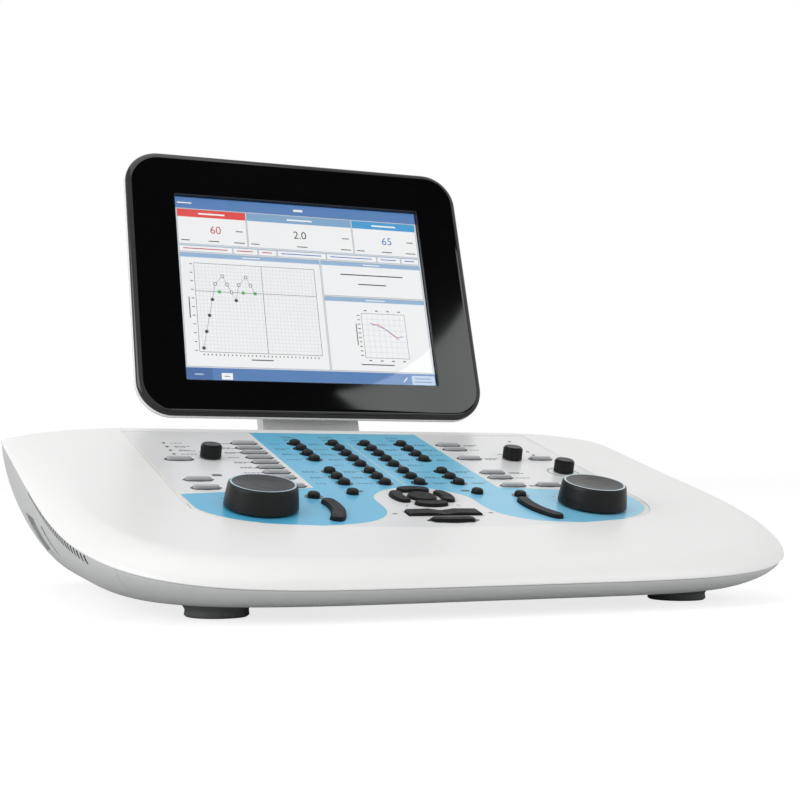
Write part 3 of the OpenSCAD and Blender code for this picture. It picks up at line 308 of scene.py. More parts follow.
def blue_film(panel):
    """Blue print of the same film: its tone runs from deeper at the left to paler at the right."""
    made, tree, shader = new_shader("printed_film_blue", FILM)
    place = add(tree, "ShaderNodeTexCoord").outputs["Object"]
    across = add(tree, "ShaderNodeSeparateXYZ", inputs={"Vector": place}).outputs["X"]
    half = PANEL_W / 2 * MM
    share = add(tree, "ShaderNodeMapRange", inputs={
        "Value": across, "From Min": -half, "From Max": half})
    stipple = speckle(tree, 1.0, 2)
    wobble = add(tree, "ShaderNodeMapRange", inputs={
        "Value": stipple, "To Min": -0.12, "To Max": 0.12})
    mixed = add(tree, "ShaderNodeMath", {"operation": "ADD", "use_clamp": True}, {
        0: share.outputs["Result"], 1: wobble.outputs["Result"]})
    tone = add(tree, "ShaderNodeMix", {"data_type": "RGBA"}, {
        "Factor": mixed.outputs["Value"], "A": linear(panel.blue_left), "B": linear(panel.blue_right)})
    tree.links.new(tone.outputs["Result"], shader.inputs["Base Color"])
    gloss = add(tree, "ShaderNodeMapRange", inputs={
        "Value": stipple, "To Min": 0.28, "To Max": 0.38})
    tree.links.new(gloss.outputs["Result"], shader.inputs["Roughness"])
    raise_grain(tree, shader, stipple, 0.015, 0.3)
    return made


def ink(name, light, dark):
    """Screen-printing ink: a thin matt layer with the stipple of the mesh."""
    made, tree, shader = new_shader(name, {"IOR": 1.5})
    vary(tree, shader, light, dark, 1.5, 0.45, 0.05)
    raise_grain(tree, shader, speckle(tree, 0.5, 2), 0.01, 0.2)
    return made


def cover_glass():
    """Chemically hardened float glass: clear, with a faint uneven gloss from wiping."""
    made, tree, shader = new_shader("cover_glass_clear", {
        "Base Color": (1, 1, 1, 1), "IOR": 1.5, "Transmission Weight": 1.0})
    smear = speckle(tree, 60, 3)
    gloss = add(tree, "ShaderNodeMapRange", inputs={"Value": smear, "To Min": 0.0, "To Max": 0.03})
    tree.links.new(gloss.outputs["Result"], shader.inputs["Roughness"])
    return made


def lit_pixels(name, colour, strength):
    """Lit liquid crystal pixels: even light that dims by a few percent in soft clouds."""
    made, tree, shader = new_shader(name, {
        "Base Color": (0.01, 0.01, 0.01, 1), "Roughness": 0.5, "Emission Strength": strength})
    dimmed = [part * 0.93 for part in linear(colour)[:3]] + [1.0]
    tone = add(tree, "ShaderNodeMix", {"data_type": "RGBA"}, {
        "Factor": speckle(tree, 70, 2), "A": dimmed, "B": linear(colour)})
    tree.links.new(tone.outputs["Result"], shader.inputs["Emission Color"])
    return made


# ---- Mesh helpers ----------------------------------------------------------------


def piece_from(name, points, faces, finish, body=None, smooth=35):
    """Mesh object from points in metres. It rides on a body unless it is a cutter."""
    mesh = bpy.data.meshes.new(name)
    mesh.from_pydata([tuple(p) for p in points], [], faces)
    tidy = bmesh.new()
    tidy.from_mesh(mesh)
    bmesh.ops.recalc_face_normals(tidy, faces=tidy.faces)
    tidy.to_mesh(mesh)
    tidy.free()
    made = bpy.data.objects.new(name, mesh)
    bpy.context.scene.collection.objects.link(made)
    if finish is not None:
        mesh.materials.append(finish)
    if body is not None:
        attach(made, body)
    soften(made, smooth)
    return made


def soften(piece, angle):
    """Smooth shading that keeps edges sharper than the angle."""
    piece.data.shade_smooth()
    piece.data.set_sharp_from_angle(angle=math.radians(angle))


def combine(piece, cutter, operation, smooth=35):
    """Applies a boolean with the cutter, which is then removed."""
    change = piece.modifiers.new("carve", "BOOLEAN")
    change.object, change.operation, change.solver = cutter, operation, "EXACT"
    if cutter.data.materials:
        change.material_mode = "TRANSFER"
    graph = bpy.context.evaluated_depsgraph_get()
    graph.update()
    result = bpy.data.meshes.new_from_object(piece.evaluated_get(graph))
    piece.modifiers.clear()
    piece.data = result
    bpy.data.objects.remove(cutter)
    soften(piece, smooth)


def carve(piece, data, operation="DIFFERENCE", finish=None, smooth=35):
    """Cuts a piece with points and faces. A finish given here colours the cut faces."""
    combine(piece, piece_from("cutter", *data, finish), operation, smooth)


def prism_data(outline, low, high, place):
    """Points and faces of a prism over a flat outline, placed by place(x, y, height)."""
    n = len(outline)
    points = [place(x, y, low) for x, y in outline] + [place(x, y, high) for x, y in outline]
    faces = [list(range(n))[::-1], list(range(n, 2 * n))]
    faces += [[i, (i + 1) % n, n + (i + 1) % n, n + i] for i in range(n)]
    return points, faces


def join_data(parts):
    """Several sets of points and faces as one."""
    points, faces = [], []
    for more, their in parts:
        start = len(points)
        points += more
        faces += [[v + start for v in f] for f in their]
    return points, faces


def block_data(low, high, place=world_point):
    """Points and faces of a box between two corners."""
    outline = [(low[0], low[1]), (high[0], low[1]), (high[0], high[1]), (low[0], high[1])]
    return prism_data(outline, low[2], high[2], place)


def circle_outline(x, y, r, n=32):
    """Points round a circle."""
    return [polar(x, y, r, 360 * i / n) for i in range(n)]


def pill_outline(x, y, length, depth, n=10):
    """Points round a bar with round ends."""
    half = (length - depth) / 2
    return [polar(x + cx, y, depth / 2, a + 180 * i / n)
            for cx, a in ((half, -90), (-half, 90)) for i in range(n + 1)]


def arc_outline(x, y, ring, width, start, end, mirror=False, n=16):
    """Stretch of a ring with round ends, mirrored in x where asked."""
    step = (end - start) / n
    outer = [polar(0, 0, ring + width / 2, start + step * i) for i in range(n + 1)]
    inner = [polar(0, 0, ring - width / 2, end - step * i) for i in range(n + 1)]
    cap = [polar(*polar(0, 0, ring, end), width / 2, end + a) for a in range(20, 170, 20)]
    cup = [polar(*polar(0, 0, ring, start), width / 2, start + a) for a in range(200, 350, 20)]
    turn = -1 if mirror else 1
    return [(x + turn * px, y + py) for px, py in outer + cap + inner + cup]


def ribbon_data(line, width, low, high, place):
    """Closed strip of even width along a line of points."""
    n, left, right = len(line), [], []
    for i, p in enumerate(line):
        a, b = line[max(i - 1, 0)], line[min(i + 1, n - 1)]
        d = Vector((b[0] - a[0], b[1] - a[1])).normalized()
        left.append((p[0] - d.y * width / 2, p[1] + d.x * width / 2))
        right.append((p[0] + d.y * width / 2, p[1] - d.x * width / 2))
    points = [place(x, y, h) for h in (low, high) for side in (left, right) for x, y in side]
    faces = [[0, n, 3 * n, 2 * n], [n - 1, 3 * n - 1, 4 * n - 1, 2 * n - 1]]
    for i in range(n - 1):
        faces += [[i, i + 1, n + i + 1, n + i],
                  [2 * n + i, 3 * n + i, 3 * n + i + 1, 2 * n + i + 1],
                  [i, 2 * n + i, 2 * n + i + 1, i + 1],
                  [n + i, n + i + 1, 3 * n + i + 1, 3 * n + i]]
    return points, faces


def curve_through(points, steps=6):
    """Smooth line through points, by the Catmull-Rom rule."""
    line = []
    for i in range(len(points) - 1):
        p0, p1, p2, p3 = (Vector(points[max(0, min(len(points) - 1, i + k))]) for k in (-1, 0, 1, 2))
        for s in range(steps):
            t = s / steps
            line.append(tuple(0.5 * (
                2 * p1 + (p2 - p0) * t + (2 * p0 - 5 * p1 + 4 * p2 - p3) * t ** 2
                + (3 * p1 - p0 - 3 * p2 + p3) * t ** 3)))
    return line + [tuple(points[-1])]


# ---- Case: soft-cornered oval rings, finer than the CAD ones ----------------------


def even_turns(quarter=56):
    """Angles round the oval that space its points evenly, the same way in each quarter."""
    steps = 2000
    fine = [math.pi / 2 * i / steps for i in range(steps + 1)]
    spots = [(HALF_W * math.cos(t) ** OVAL_POWER if t < fine[-1] else 0.0,
              (HALF_FRONT + HALF_REAR) / 2 * math.sin(t) ** OVAL_POWER) for t in fine]
    run = [0.0]
    for a, b in zip(spots, spots[1:]):
        run.append(run[-1] + math.dist(a, b))
    turns, k = [], 0
    for i in range(quarter + 1):
        while run[k] < run[-1] * i / quarter and k < steps:
            k += 1
        turns.append(fine[k])
    turns[0], turns[-1] = 0.0, math.pi / 2
    back = turns[::-1][:-1]
    return (turns[:-1] + [math.pi - t for t in back] + [math.pi + t for t in turns[:-1]]
            + [2 * math.pi - t for t in back])


TURNS = even_turns()


def soft(value):
    """Sine or cosine bent towards the corners of the oval."""
    return math.copysign(abs(value) ** OVAL_POWER, value) if abs(value) > 1e-12 else 0.0


def oval(t, side, end):
    """Point of the base outline, drawn in at the sides and the ends."""
    reach = HALF_FRONT - end if math.sin(t) < 0 else HALF_REAR - end
    return (HALF_W - side) * soft(math.cos(t)), PANEL_ORIGIN[1] + MID_Y + reach * soft(math.sin(t))


def deck_z(y):
    """Height of the deck: the slope of the panel, a bend and a level rear."""
    d = y - PANEL_ORIGIN[1]
    bend_end = BEND_Y + BEND_R * math.sin(SLOPE)
    if d < BEND_Y:
        return PANEL_ORIGIN[2] + d * math.tan(SLOPE)
    if d < bend_end:
        return DECK_H - BEND_R + math.sqrt(BEND_R ** 2 - (bend_end - d) ** 2)
    return DECK_H


def rim_ring(part, height, skin=0.0):
    """Ring of the top cover, part of the way across its soft edge."""
    ring = []
    for t in TURNS:
        along = (oval(t, 0, 0)[1] - PANEL_ORIGIN[1] - EDGE_FROM) / (EDGE_TO - EDGE_FROM)
        share = min(1, max(0, along)) ** 2
        x, y = oval(t, part * (EDGE_IN + EDGE_MORE * share) + skin, part * EDGE_IN + skin)
        ring.append(Vector((x, y, deck_z(y) - RIM_H + height)) * MM)
    return ring


def edge_ring(turn, drop=0.0, skin=0.0):
    """Ring of the soft edge at a turn from 0, upright, to 90 degrees, level."""
    a = math.radians(turn)
    rise = RIM_H - EDGE_H * (1 - math.sin(a) ** EDGE_BEND)
    return rim_ring(1 - max(math.cos(a), 0) ** EDGE_BEND, rise - drop, skin)


def hull_ring(turn, skin=0.0):
    """Ring of the lower hull at a turn from 0, at the seam, to 90 degrees, at the flat bottom."""
    a = math.radians(turn)
    inward = 1 - max(math.cos(a), 0) ** HULL_IN
    ring = []
    for t in TURNS:
        top = deck_z(oval(t, HULL_STEP, HULL_STEP)[1]) - RIM_H - COVER_GAP
        side = HULL_SIDE + HULL_SLANT * (top - FLOOR_Z)
        x, y = oval(t, HULL_STEP + skin + side * inward, HULL_STEP + skin + HULL_END * inward)
        ring.append(Vector((x, y, top + (FLOOR_Z + skin - top) * math.sin(a) ** HULL_DOWN)) * MM)
    return ring


def loft_data(rings, ends="strips"):
    """Walls between neighbouring rings. The ends are closed by strips from side to side, by one
    flat face each, or by a loop from the last ring back to the first."""
    n, last = len(rings[0]), (len(rings) - 1) * len(rings[0])
    points = [p for ring in rings for p in ring]
    steps = [(k * n, (k + 1) * n) for k in range(len(rings) - 1)]
    if ends == "loop":
        steps.append((last, 0))
    faces = [[a + i, a + (i + 1) % n, b + (i + 1) % n, b + i] for a, b in steps for i in range(n)]
    if ends == "flat":
        faces += [list(range(n)), list(range(last, last + n))]
    if ends == "strips":
        for start in (0, last):
            right = [start + (n // 4 - k) % n for k in range(n // 2 + 1)]
            left = [start + (n // 4 + k) % n for k in range(n // 2 + 1)]
            faces += [list(dict.fromkeys([right[k], right[k + 1], left[k + 1], left[k]]))
                      for k in range(n // 2)]
    return points, faces


def panel_outline(grow=0.0):
    """Outline of the key panel: a bowed front, round front corners and a straight rear."""
    cx, bow_y = PANEL_W / 2 - PANEL_R, PANEL_BOW - PANEL_FRONT
    cy = bow_y - math.sqrt((PANEL_BOW - PANEL_R) ** 2 - cx ** 2)
    turn = math.atan2(cy - bow_y, cx)

    def arc(x, y, r, start, end, n):
        turns = [start + (end - start) * i / n for i in range(n + 1)]
        return [(x + r * math.cos(a), y + r * math.sin(a)) for a in turns]

    return (arc(0, bow_y, PANEL_BOW + grow, -math.pi - turn, turn, 40)
            + arc(cx, cy, PANEL_R + grow, turn, 0, 16)[1:]
            + [(PANEL_W / 2 + grow, PANEL_REAR + grow), (-PANEL_W / 2 - grow, PANEL_REAR + grow)]
            + arc(-cx, cy, PANEL_R + grow, math.pi, math.pi - turn, 16)[:-1])


def side_prism(side, gap):
    """Space of a side cover, with a slanted joint round the front corner."""
    a, y, out = SIDE_SPLIT + gap, PANEL_ORIGIN[1], 100
    rear = y + REAR_REACH + 10
    outline = [(a, rear), (a, y - SIDE_SPLIT), (a + out, y - SIDE_SPLIT - out), (a + out, rear)]
    return prism_data([(side * x, v) for x, v in outline], 0, DECK_H, world_point)


# Vents under the rim: thirty slots that grow a little towards the front
VENT_N, VENT_W, VENT_PITCH, VENT_FROM = 30, 2.1, 4.3, -72
VENT_H, VENT_GROW, VENT_DROP = 2.6, 2.4, 0.8


def vent_cutter(side):
    """Slots of one side as one cutter, from outside the hull to well inside its wall."""
    slots = []
    for i in range(VENT_N):
        y = VENT_FROM - i * VENT_PITCH
        x = HALF_W * (1 - (abs(y - MID_Y) / HALF_FRONT) ** OVAL_N) ** (1 / OVAL_N)
        tall = VENT_H + VENT_GROW * i / (VENT_N - 1)
        top = deck_z(PANEL_ORIGIN[1] + y) - RIM_H - COVER_GAP - VENT_DROP
        near, far = sorted((side * (x - WALL - 7), side * (x + 4)))
        slots.append(block_data((near, PANEL_ORIGIN[1] + y - VENT_W / 2, top - tall),
                                (far, PANEL_ORIGIN[1] + y + VENT_W / 2, top)))
    return join_data(slots)


# Recess in the left side: its middle, the tilt of the hull there, and its leaning outline.
# Two grooves are cut from the same plane. The hull curves away from it, so they show only
# near their front ends. The square hole in front of the recess goes right through the wall.
RECESS_AT, RECESS_TILT = (-228.5, -14, -63), math.radians(37.6)
RECESS_L, RECESS_H, RECESS_LEAN, RECESS_DEEP = 49, 33, 20, 8
GROOVE_GAP, GROOVE_W, GROOVE_DEEP = 4, 1.2, 0.8
HOLE_AT, HOLE_L, HOLE_H, HOLE_UP, HOLE_IN = -78, 13, 22, 4, 2
OUTSIDE = 20


def recess_point(inward, along, up):
    """Point in metres in the frame of the slanting left side."""
    x = inward * math.cos(RECESS_TILT) - up * math.sin(RECESS_TILT)
    z = inward * math.sin(RECESS_TILT) + up * math.cos(RECESS_TILT)
    return world_point(RECESS_AT[0] + x, PANEL_ORIGIN[1] + RECESS_AT[1] + along,
                       PANEL_ORIGIN[2] + RECESS_AT[2] + z)


def recess_block_point(along, up, inward):
    """The same for blocks and prisms, whose height goes into the case."""
    return recess_point(inward, along, up)


def recess_data(grow, deep, out):
    """Leaning prism of the recess, grown by a wall where asked."""
    outline = [(c * (RECESS_L / 2 + grow) - d * RECESS_LEAN / 2, d * (RECESS_H / 2 + grow))
               for c, d in ((-1, -1), (1, -1), (1, 1), (-1, 1))]
    return prism_data(outline, -out, deep, recess_block_point)


def cylinder_data(x, y, low, high, r, n=24):
    """Upright cylinder."""
    return prism_data(circle_outline(x, y, r, n), low, high, world_point)


def side_marks():
    """The two grooves and the square hole beside the recess."""
    cuts = []
    for s in (-1, 1):
        along, up = -RECESS_L / 2 - s * RECESS_LEAN / 2, s * (RECESS_H / 2 + GROOVE_GAP)
        cuts.append(block_data((along, up, -OUTSIDE), (along + RECESS_L, up + GROOVE_W, GROOVE_DEEP),
                               recess_block_point))
    low = (HOLE_AT - HOLE_L / 2, HOLE_UP - HOLE_H / 2, -OUTSIDE)
    high = (HOLE_AT + HOLE_L / 2, HOLE_UP + HOLE_H / 2, HOLE_IN)
    return cuts + [block_data(low, high, recess_block_point)]


class SceneState:
    """Finishes made once and used by every operator."""
    looks = {}


def dress(*nodes):
    """Gives CAD nodes the finish of their slot in the record."""
    slots = {part["node"]: part["material_slot"] for part in frame["record"]["subparts"]}
    for name in nodes:
        thing = frame["nodes"][name]
        if not thing.material_slots:
            thing.data.materials.append(None)
        for holder in thing.material_slots:
            holder.material = SceneState.looks[slots[name]]


def stand_for(node):
    """Hides a CAD node, so that a piece built here shows in its place."""
    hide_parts(node)


def hex_prop(name, text, value):
    """Setting for an sRGB hex colour."""
    return bpy.props.StringProperty(name=name, description=text, default=value)


class AudiometerCaseSettings(bpy.types.PropertyGroup):
    white: hex_prop("White", "sRGB hex colour of the top cover", "#f3f3f2")
    white_shade: hex_prop("White shade", "sRGB hex colour of the slow drift in the white", "#efefee")


class AudiometerPanelSettings(bpy.types.PropertyGroup):
    blue_left: hex_prop("Blue, left", "sRGB hex colour of the blue print at the left", "#47b4de")
    blue_right: hex_prop("Blue, right", "sRGB hex colour of the blue print at the right", "#88d0ee")
    outline_width: bpy.props.FloatProperty(
        name="Outline width", description="Width of the light line round the blue print", default=0.0009,
        min=0.0003, max=0.002, subtype="DISTANCE", unit="LENGTH")


class AudiometerDisplaySettings(bpy.types.PropertyGroup):
    bezel: hex_prop("Bezel", "sRGB hex colour of the polished frame", "#0a0a0c")
    brightness: bpy.props.FloatProperty(
        name="Screen brightness", description="Strength of the lit pixels, where 1 is white",
        default=0.92, min=0, max=2, subtype="FACTOR")


class AudiometerStageSettings(bpy.types.PropertyGroup):
    camera_place: bpy.props.FloatVectorProperty(
        name="Camera place", description="Where the camera stands", default=(-0.4067, -0.9843, 0.0890),
        subtype="TRANSLATION", unit="LENGTH")
    camera_yaw: bpy.props.FloatProperty(
        name="Camera yaw", description="Turn of the view from +Y towards +X",
        default=math.radians(23.223), subtype="ANGLE", unit="ROTATION")
    camera_pitch: bpy.props.FloatProperty(
        name="Camera pitch", description="Upward tilt of the view", default=math.radians(5.444),
        subtype="ANGLE", unit="ROTATION")
    camera_roll: bpy.props.FloatProperty(
        name="Camera roll", description="Roll of the view", default=math.radians(0.235),
        subtype="ANGLE", unit="ROTATION")
    lens: bpy.props.FloatProperty(
        name="Lens", description="Focal length of the camera in millimetres", default=67.347,
        min=10, max=300)
    fill: bpy.props.FloatProperty(
        name="Fill light", description="Strength of the even light from all round", default=0.5,
        min=0, max=2)


# ---- Operators ---------------------------------------------------------------------


class AUDIOMETER_OT_stage(bpy.types.Operator):
    """Adds the floor, the white surroundings, the studio lamps and the camera"""
    bl_idname = "audiometer.stage"
    bl_label = "Stage"

    # Name, place, target, size and power of each lamp, in metres and watts
    LAMPS = (
        ("left_lamp", (-1.9, -0.5, 0.75), (-0.1, 0, 0.08), (1.4, 1.0), 15),
        ("top_lamp", (-0.3, -0.1, 2.2), (0, 0, 0.1), (2.2, 1.6), 12),
        ("front_lamp", (0.9, -1.9, 0.9), (0.1, 0, 0.1), (1.2, 1.0), 7))
    CARD_T, FLOOR_NEAR, FLOOR_FAR, FLOOR_DROP = 0.02, 0.8, 9.0, 0.0002

    def execute(self, context):
        stage = context.scene.audiometer_stage
        self.surroundings(context, stage)
        self.floor()
        self.camera(context, stage)
        for lamp in self.LAMPS:
            self.lamp(*lamp)
        self.flag()
        self.softbox()
        return {"FINISHED"}

    def surroundings(self, context, stage):
        world = bpy.data.worlds.new("white_surroundings")
        context.scene.world = world
        world.use_nodes = True
        tree = world.node_tree
        tree.nodes.clear()
        path = add(tree, "ShaderNodeLightPath")
        seen = add(tree, "ShaderNodeMath", {"operation": "MAXIMUM"}, {
            0: path.outputs["Is Camera Ray"], 1: path.outputs["Is Transmission Ray"]})
        seen = add(tree, "ShaderNodeMath", {"operation": "MAXIMUM"}, {
            0: seen.outputs["Value"], 1: path.outputs["Is Glossy Ray"]})
        light, white = (add(tree, "ShaderNodeBackground", inputs={
            "Color": (1, 1, 1, 1), "Strength": strength}) for strength in (stage.fill, 1.0))
        mixed = add(tree, "ShaderNodeMixShader", inputs={
            0: seen.outputs["Value"], 1: light.outputs["Background"],
            2: white.outputs["Background"]})
        add(tree, "ShaderNodeOutputWorld", inputs={"Surface": mixed.outputs["Shader"]})

    def mirror_card(self, card):
        """Card of the studio that only reflections see, so it takes no light from the case."""
        card.visible_camera = card.visible_diffuse = False
        card.visible_shadow = card.visible_transmission = False

    def flag(self):
        # Black velvet on a frame, the flag of a studio: the polished display mirrors it instead
        # of the white surroundings.
        velvet = moulded_plastic("black_velvet_flag", "#020202", "#010101",
            rough=0.95, spread=0.02, cloud_mm=90, grain_mm=3, depth_mm=0.2, strength=0.3)
        middle = Vector((0.78, -1.45, 1.35))
        across, up = Vector((0.9, 0.43, 0)), Vector((-0.27, 0.55, 0.75))
        sheet = [middle + across * a + up * b for a, b in ((-1, -1), (1, -1), (1, 1), (-1, 1))]
        back = across.cross(up).normalized() * self.CARD_T
        points = sheet + [p + back for p in sheet]
        faces = [[0, 1, 2, 3], [4, 5, 6, 7]]
        faces += [[i, (i + 1) % 4, 4 + (i + 1) % 4, 4 + i] for i in range(4)]
        self.mirror_card(piece_from("black_flag", points, faces, velvet))

    def softbox(self):
        # Lit cloth of a large softbox with one bowed edge, mirrored in the lower corner of the
        # display.
        made, tree, shader = new_shader("softbox_cloth", {
            "Base Color": (0, 0, 0, 1), "Roughness": 1.0, "Emission Color": linear("#f4f8f6")})
        weave = add(tree, "ShaderNodeMapRange", inputs={
            "Value": speckle(tree, 220, 2), "To Min": 2.6, "To Max": 3.8})
        tree.links.new(weave.outputs["Result"], shader.inputs["Emission Strength"])
        corner = Vector((0.826, -1.074, 1.112))
        across, up = Vector((-0.861, -0.509, 0)), Vector((-0.287, 0.486, 0.825))
        bow, bow_x, bow_y = 0.338, 0.151, 0.382
        outline = [polar(bow_x, bow_y, bow, a) for a in range(-80, -160, -5)]
        outline += [(-0.5, 0.2), (-0.5, -0.4), (0.13, -0.4), (0.17, -0.006)]

        def place(x, y, h):
            return corner + across * x + up * y - across.cross(up) * h
        self.mirror_card(piece_from(
            "softbox_front", *prism_data(outline, 0, self.CARD_T, place), made))

    def floor(self):
        # Matt white studio paper. To the camera most of it is plain white, and the rest keeps
        # the shadow.
        made, tree, shader = new_shader("studio_paper", {
            "Base Color": linear("#f4f4f4"), "Roughness": 0.9})
        path = add(tree, "ShaderNodeLightPath")
        share = add(tree, "ShaderNodeMath", {"operation": "MULTIPLY"}, {
            0: path.outputs["Is Camera Ray"], 1: 0.6})
        glow = add(tree, "ShaderNodeEmission", inputs={"Color": (1, 1, 1, 1), "Strength": 1.3})
        mixed = add(tree, "ShaderNodeMixShader", inputs={
            0: share.outputs["Value"], 1: shader.outputs["BSDF"], 2: glow.outputs["Emission"]})
        tree.links.new(mixed.outputs["Shader"], tree.nodes["Material Output"].inputs["Surface"])
        rings = [[Vector((*polar(0, 0, r, a), -self.FLOOR_DROP)) for a in range(0, 360, 5)]
                 for r in (self.FLOOR_NEAR, self.FLOOR_FAR)]
        n = len(rings[0])
        faces = [list(range(n))] + [[i, (i + 1) % n, n + (i + 1) % n, n + i] for i in range(n)]
        piece_from("studio_floor", rings[0] + rings[1], faces, made)

    def camera(self, context, stage):
        data = bpy.data.cameras.new("photo_camera")
        made = bpy.data.objects.new("photo_camera", data)
        context.scene.collection.objects.link(made)
        data.lens, data.sensor_width, data.sensor_fit = stage.lens, 36, "HORIZONTAL"
        data.shift_x, data.shift_y = -0.0024, -0.1
        data.clip_start, data.clip_end = 0.02, 40
        turn = (Matrix.Rotation(-stage.camera_yaw, 4, "Z")
                @ Matrix.Rotation(math.radians(90) + stage.camera_pitch, 4, "X")
                @ Matrix.Rotation(stage.camera_roll, 4, "Z"))
        made.matrix_world = Matrix.Translation(stage.camera_place) @ turn
        context.scene.camera = made
        context.scene.view_settings.view_transform = "Standard"

    def lamp(self, name, place, target, size, power):
        data = bpy.data.lights.new(name, "AREA")
        data.shape, data.size, data.size_y, data.energy = "RECTANGLE", size[0], size[1], power
        made = bpy.data.objects.new(name, data)
        bpy.context.scene.collection.objects.link(made)
        made.location = place
        made.rotation_mode = "QUATERNION"
        made.rotation_quaternion = (Vector(target) - Vector(place)).to_track_quat("-Z", "Y")


class AUDIOMETER_OT_finishes(bpy.types.Operator):
    """Makes every finish of the audiometer"""
    bl_idname = "audiometer.finishes"
    bl_label = "Finishes"

    def execute(self, context):
        SceneState.looks = finishes(context.scene.audiometer_case, context.scene.audiometer_display)
        return {"FINISHED"}


class AUDIOMETER_OT_case(bpy.types.Operator):
    """Builds the white top cover and the grey lower hull with its vents and recess"""
    bl_idname = "audiometer.case"
    bl_label = "Case"

    def execute(self, context):
        self.top_cover()
        self.lower_hull()
        dress("hinge_cover", "case_screws", "speaker", "hinge_blocks", "base_hinge_pin",
              "connector_bay", "rear_sockets")
        return {"FINISHED"}

    def top_cover(self):
        under = RIM_H - WALL / math.cos(SLOPE)
        rings = ([rim_ring(1, under, WALL)]
                 + [edge_ring(a, WALL, WALL) for a in range(75, 15, -15)]
                 + [rim_ring(0, 0, WALL), rim_ring(0, 0, RIM_LIP)]
                 + [edge_ring(a) for a in range(0, 91, 5)])
        cover = piece_from("case_top", *loft_data(rings), SceneState.looks["case_white"], "base")
        carve(cover, prism_data(panel_outline(JOINT_GAP), -CUT_BELOW, CUT_ABOVE, panel_point))
        y = PANEL_ORIGIN[1]
        carve(cover, block_data((-NOTCH_HALF, y + NOTCH_FRONT, DECK_H - CUT_BELOW),
                                (NOTCH_HALF, y + NOTCH_REAR, DECK_H + CUT_ABOVE)))
        stand_for("top_cover")

    def lower_hull(self):
        outer = [hull_ring(a) for a in range(90, -1, -6)]
        shell = loft_data(outer + [hull_ring(a, WALL) for a in range(0, 91, 10)])
        self.bottom(shell)
        right = self.side(shell, 1, "case_right")
        self.vents(right, 1)
        stand_for("right_side_cover")
        left = self.side(shell, -1, "case_left")
        pocket = piece_from("pocket", *loft_data(outer), SceneState.looks["case_gray"])
        carve(pocket, recess_data(WALL, RECESS_DEEP + WALL, OUTSIDE), "INTERSECT")
        combine(left, pocket, "UNION")
        for cut in [recess_data(0, RECESS_DEEP, OUTSIDE + 10)] + side_marks():
            carve(left, cut)
        self.vents(left, -1)
        stand_for("left_side_cover")

    def bottom(self, shell):
        made = piece_from("case_bottom", *shell, SceneState.looks["case_gray"], "base")
        for side in (-1, 1):
            carve(made, side_prism(side, 0))
        y, low, high = PANEL_ORIGIN[1], FLOOR_Z - 1, FLOOR_Z + 4
        bay = BAY_W / 2 + JOINT_GAP
        holes = [block_data((-bay, y + BAY_Y - 4, BAY_Z[0] - JOINT_GAP),
                            (bay, y + 140, BAY_Z[1] + JOINT_GAP))]
        holes += [block_data((SOUND_X + i * SLOT_PITCH - SLOT_W / 2, y + SOUND_V[0], low),
                             (SOUND_X + i * SLOT_PITCH + SLOT_W / 2, y + SOUND_V[1], high))
                  for i in range(-3, 4)]
        holes += [cylinder_data(x, y + v, low, high, SCREW_R) for x, v in SCREWS]
        carve(made, join_data(holes))
        stand_for("bottom_cover")

    def side(self, shell, side, name):
        """Side cover without its openings."""
        made = piece_from(name, *shell, SceneState.looks["case_gray"], "base")
        carve(made, side_prism(side, JOINT_GAP), "INTERSECT")
        return made

    def vents(self, made, side):
        """Slots under the rim, whose cut walls take the dark bay finish as painted shade."""
        # Painted shade: the cut walls of the slots get the darker bay finish instead of the grey of the
        # hull.
        carve(made, vent_cutter(side), finish=SceneState.looks["bay_gray"])


class AUDIOMETER_OT_feet(bpy.types.Operator):
    """Finishes the four rubber feet"""
    bl_idname = "audiometer.feet"
    bl_label = "Feet"

    def execute(self, context):
        dress("front_feet", "rear_feet")
        return {"FINISHED"}


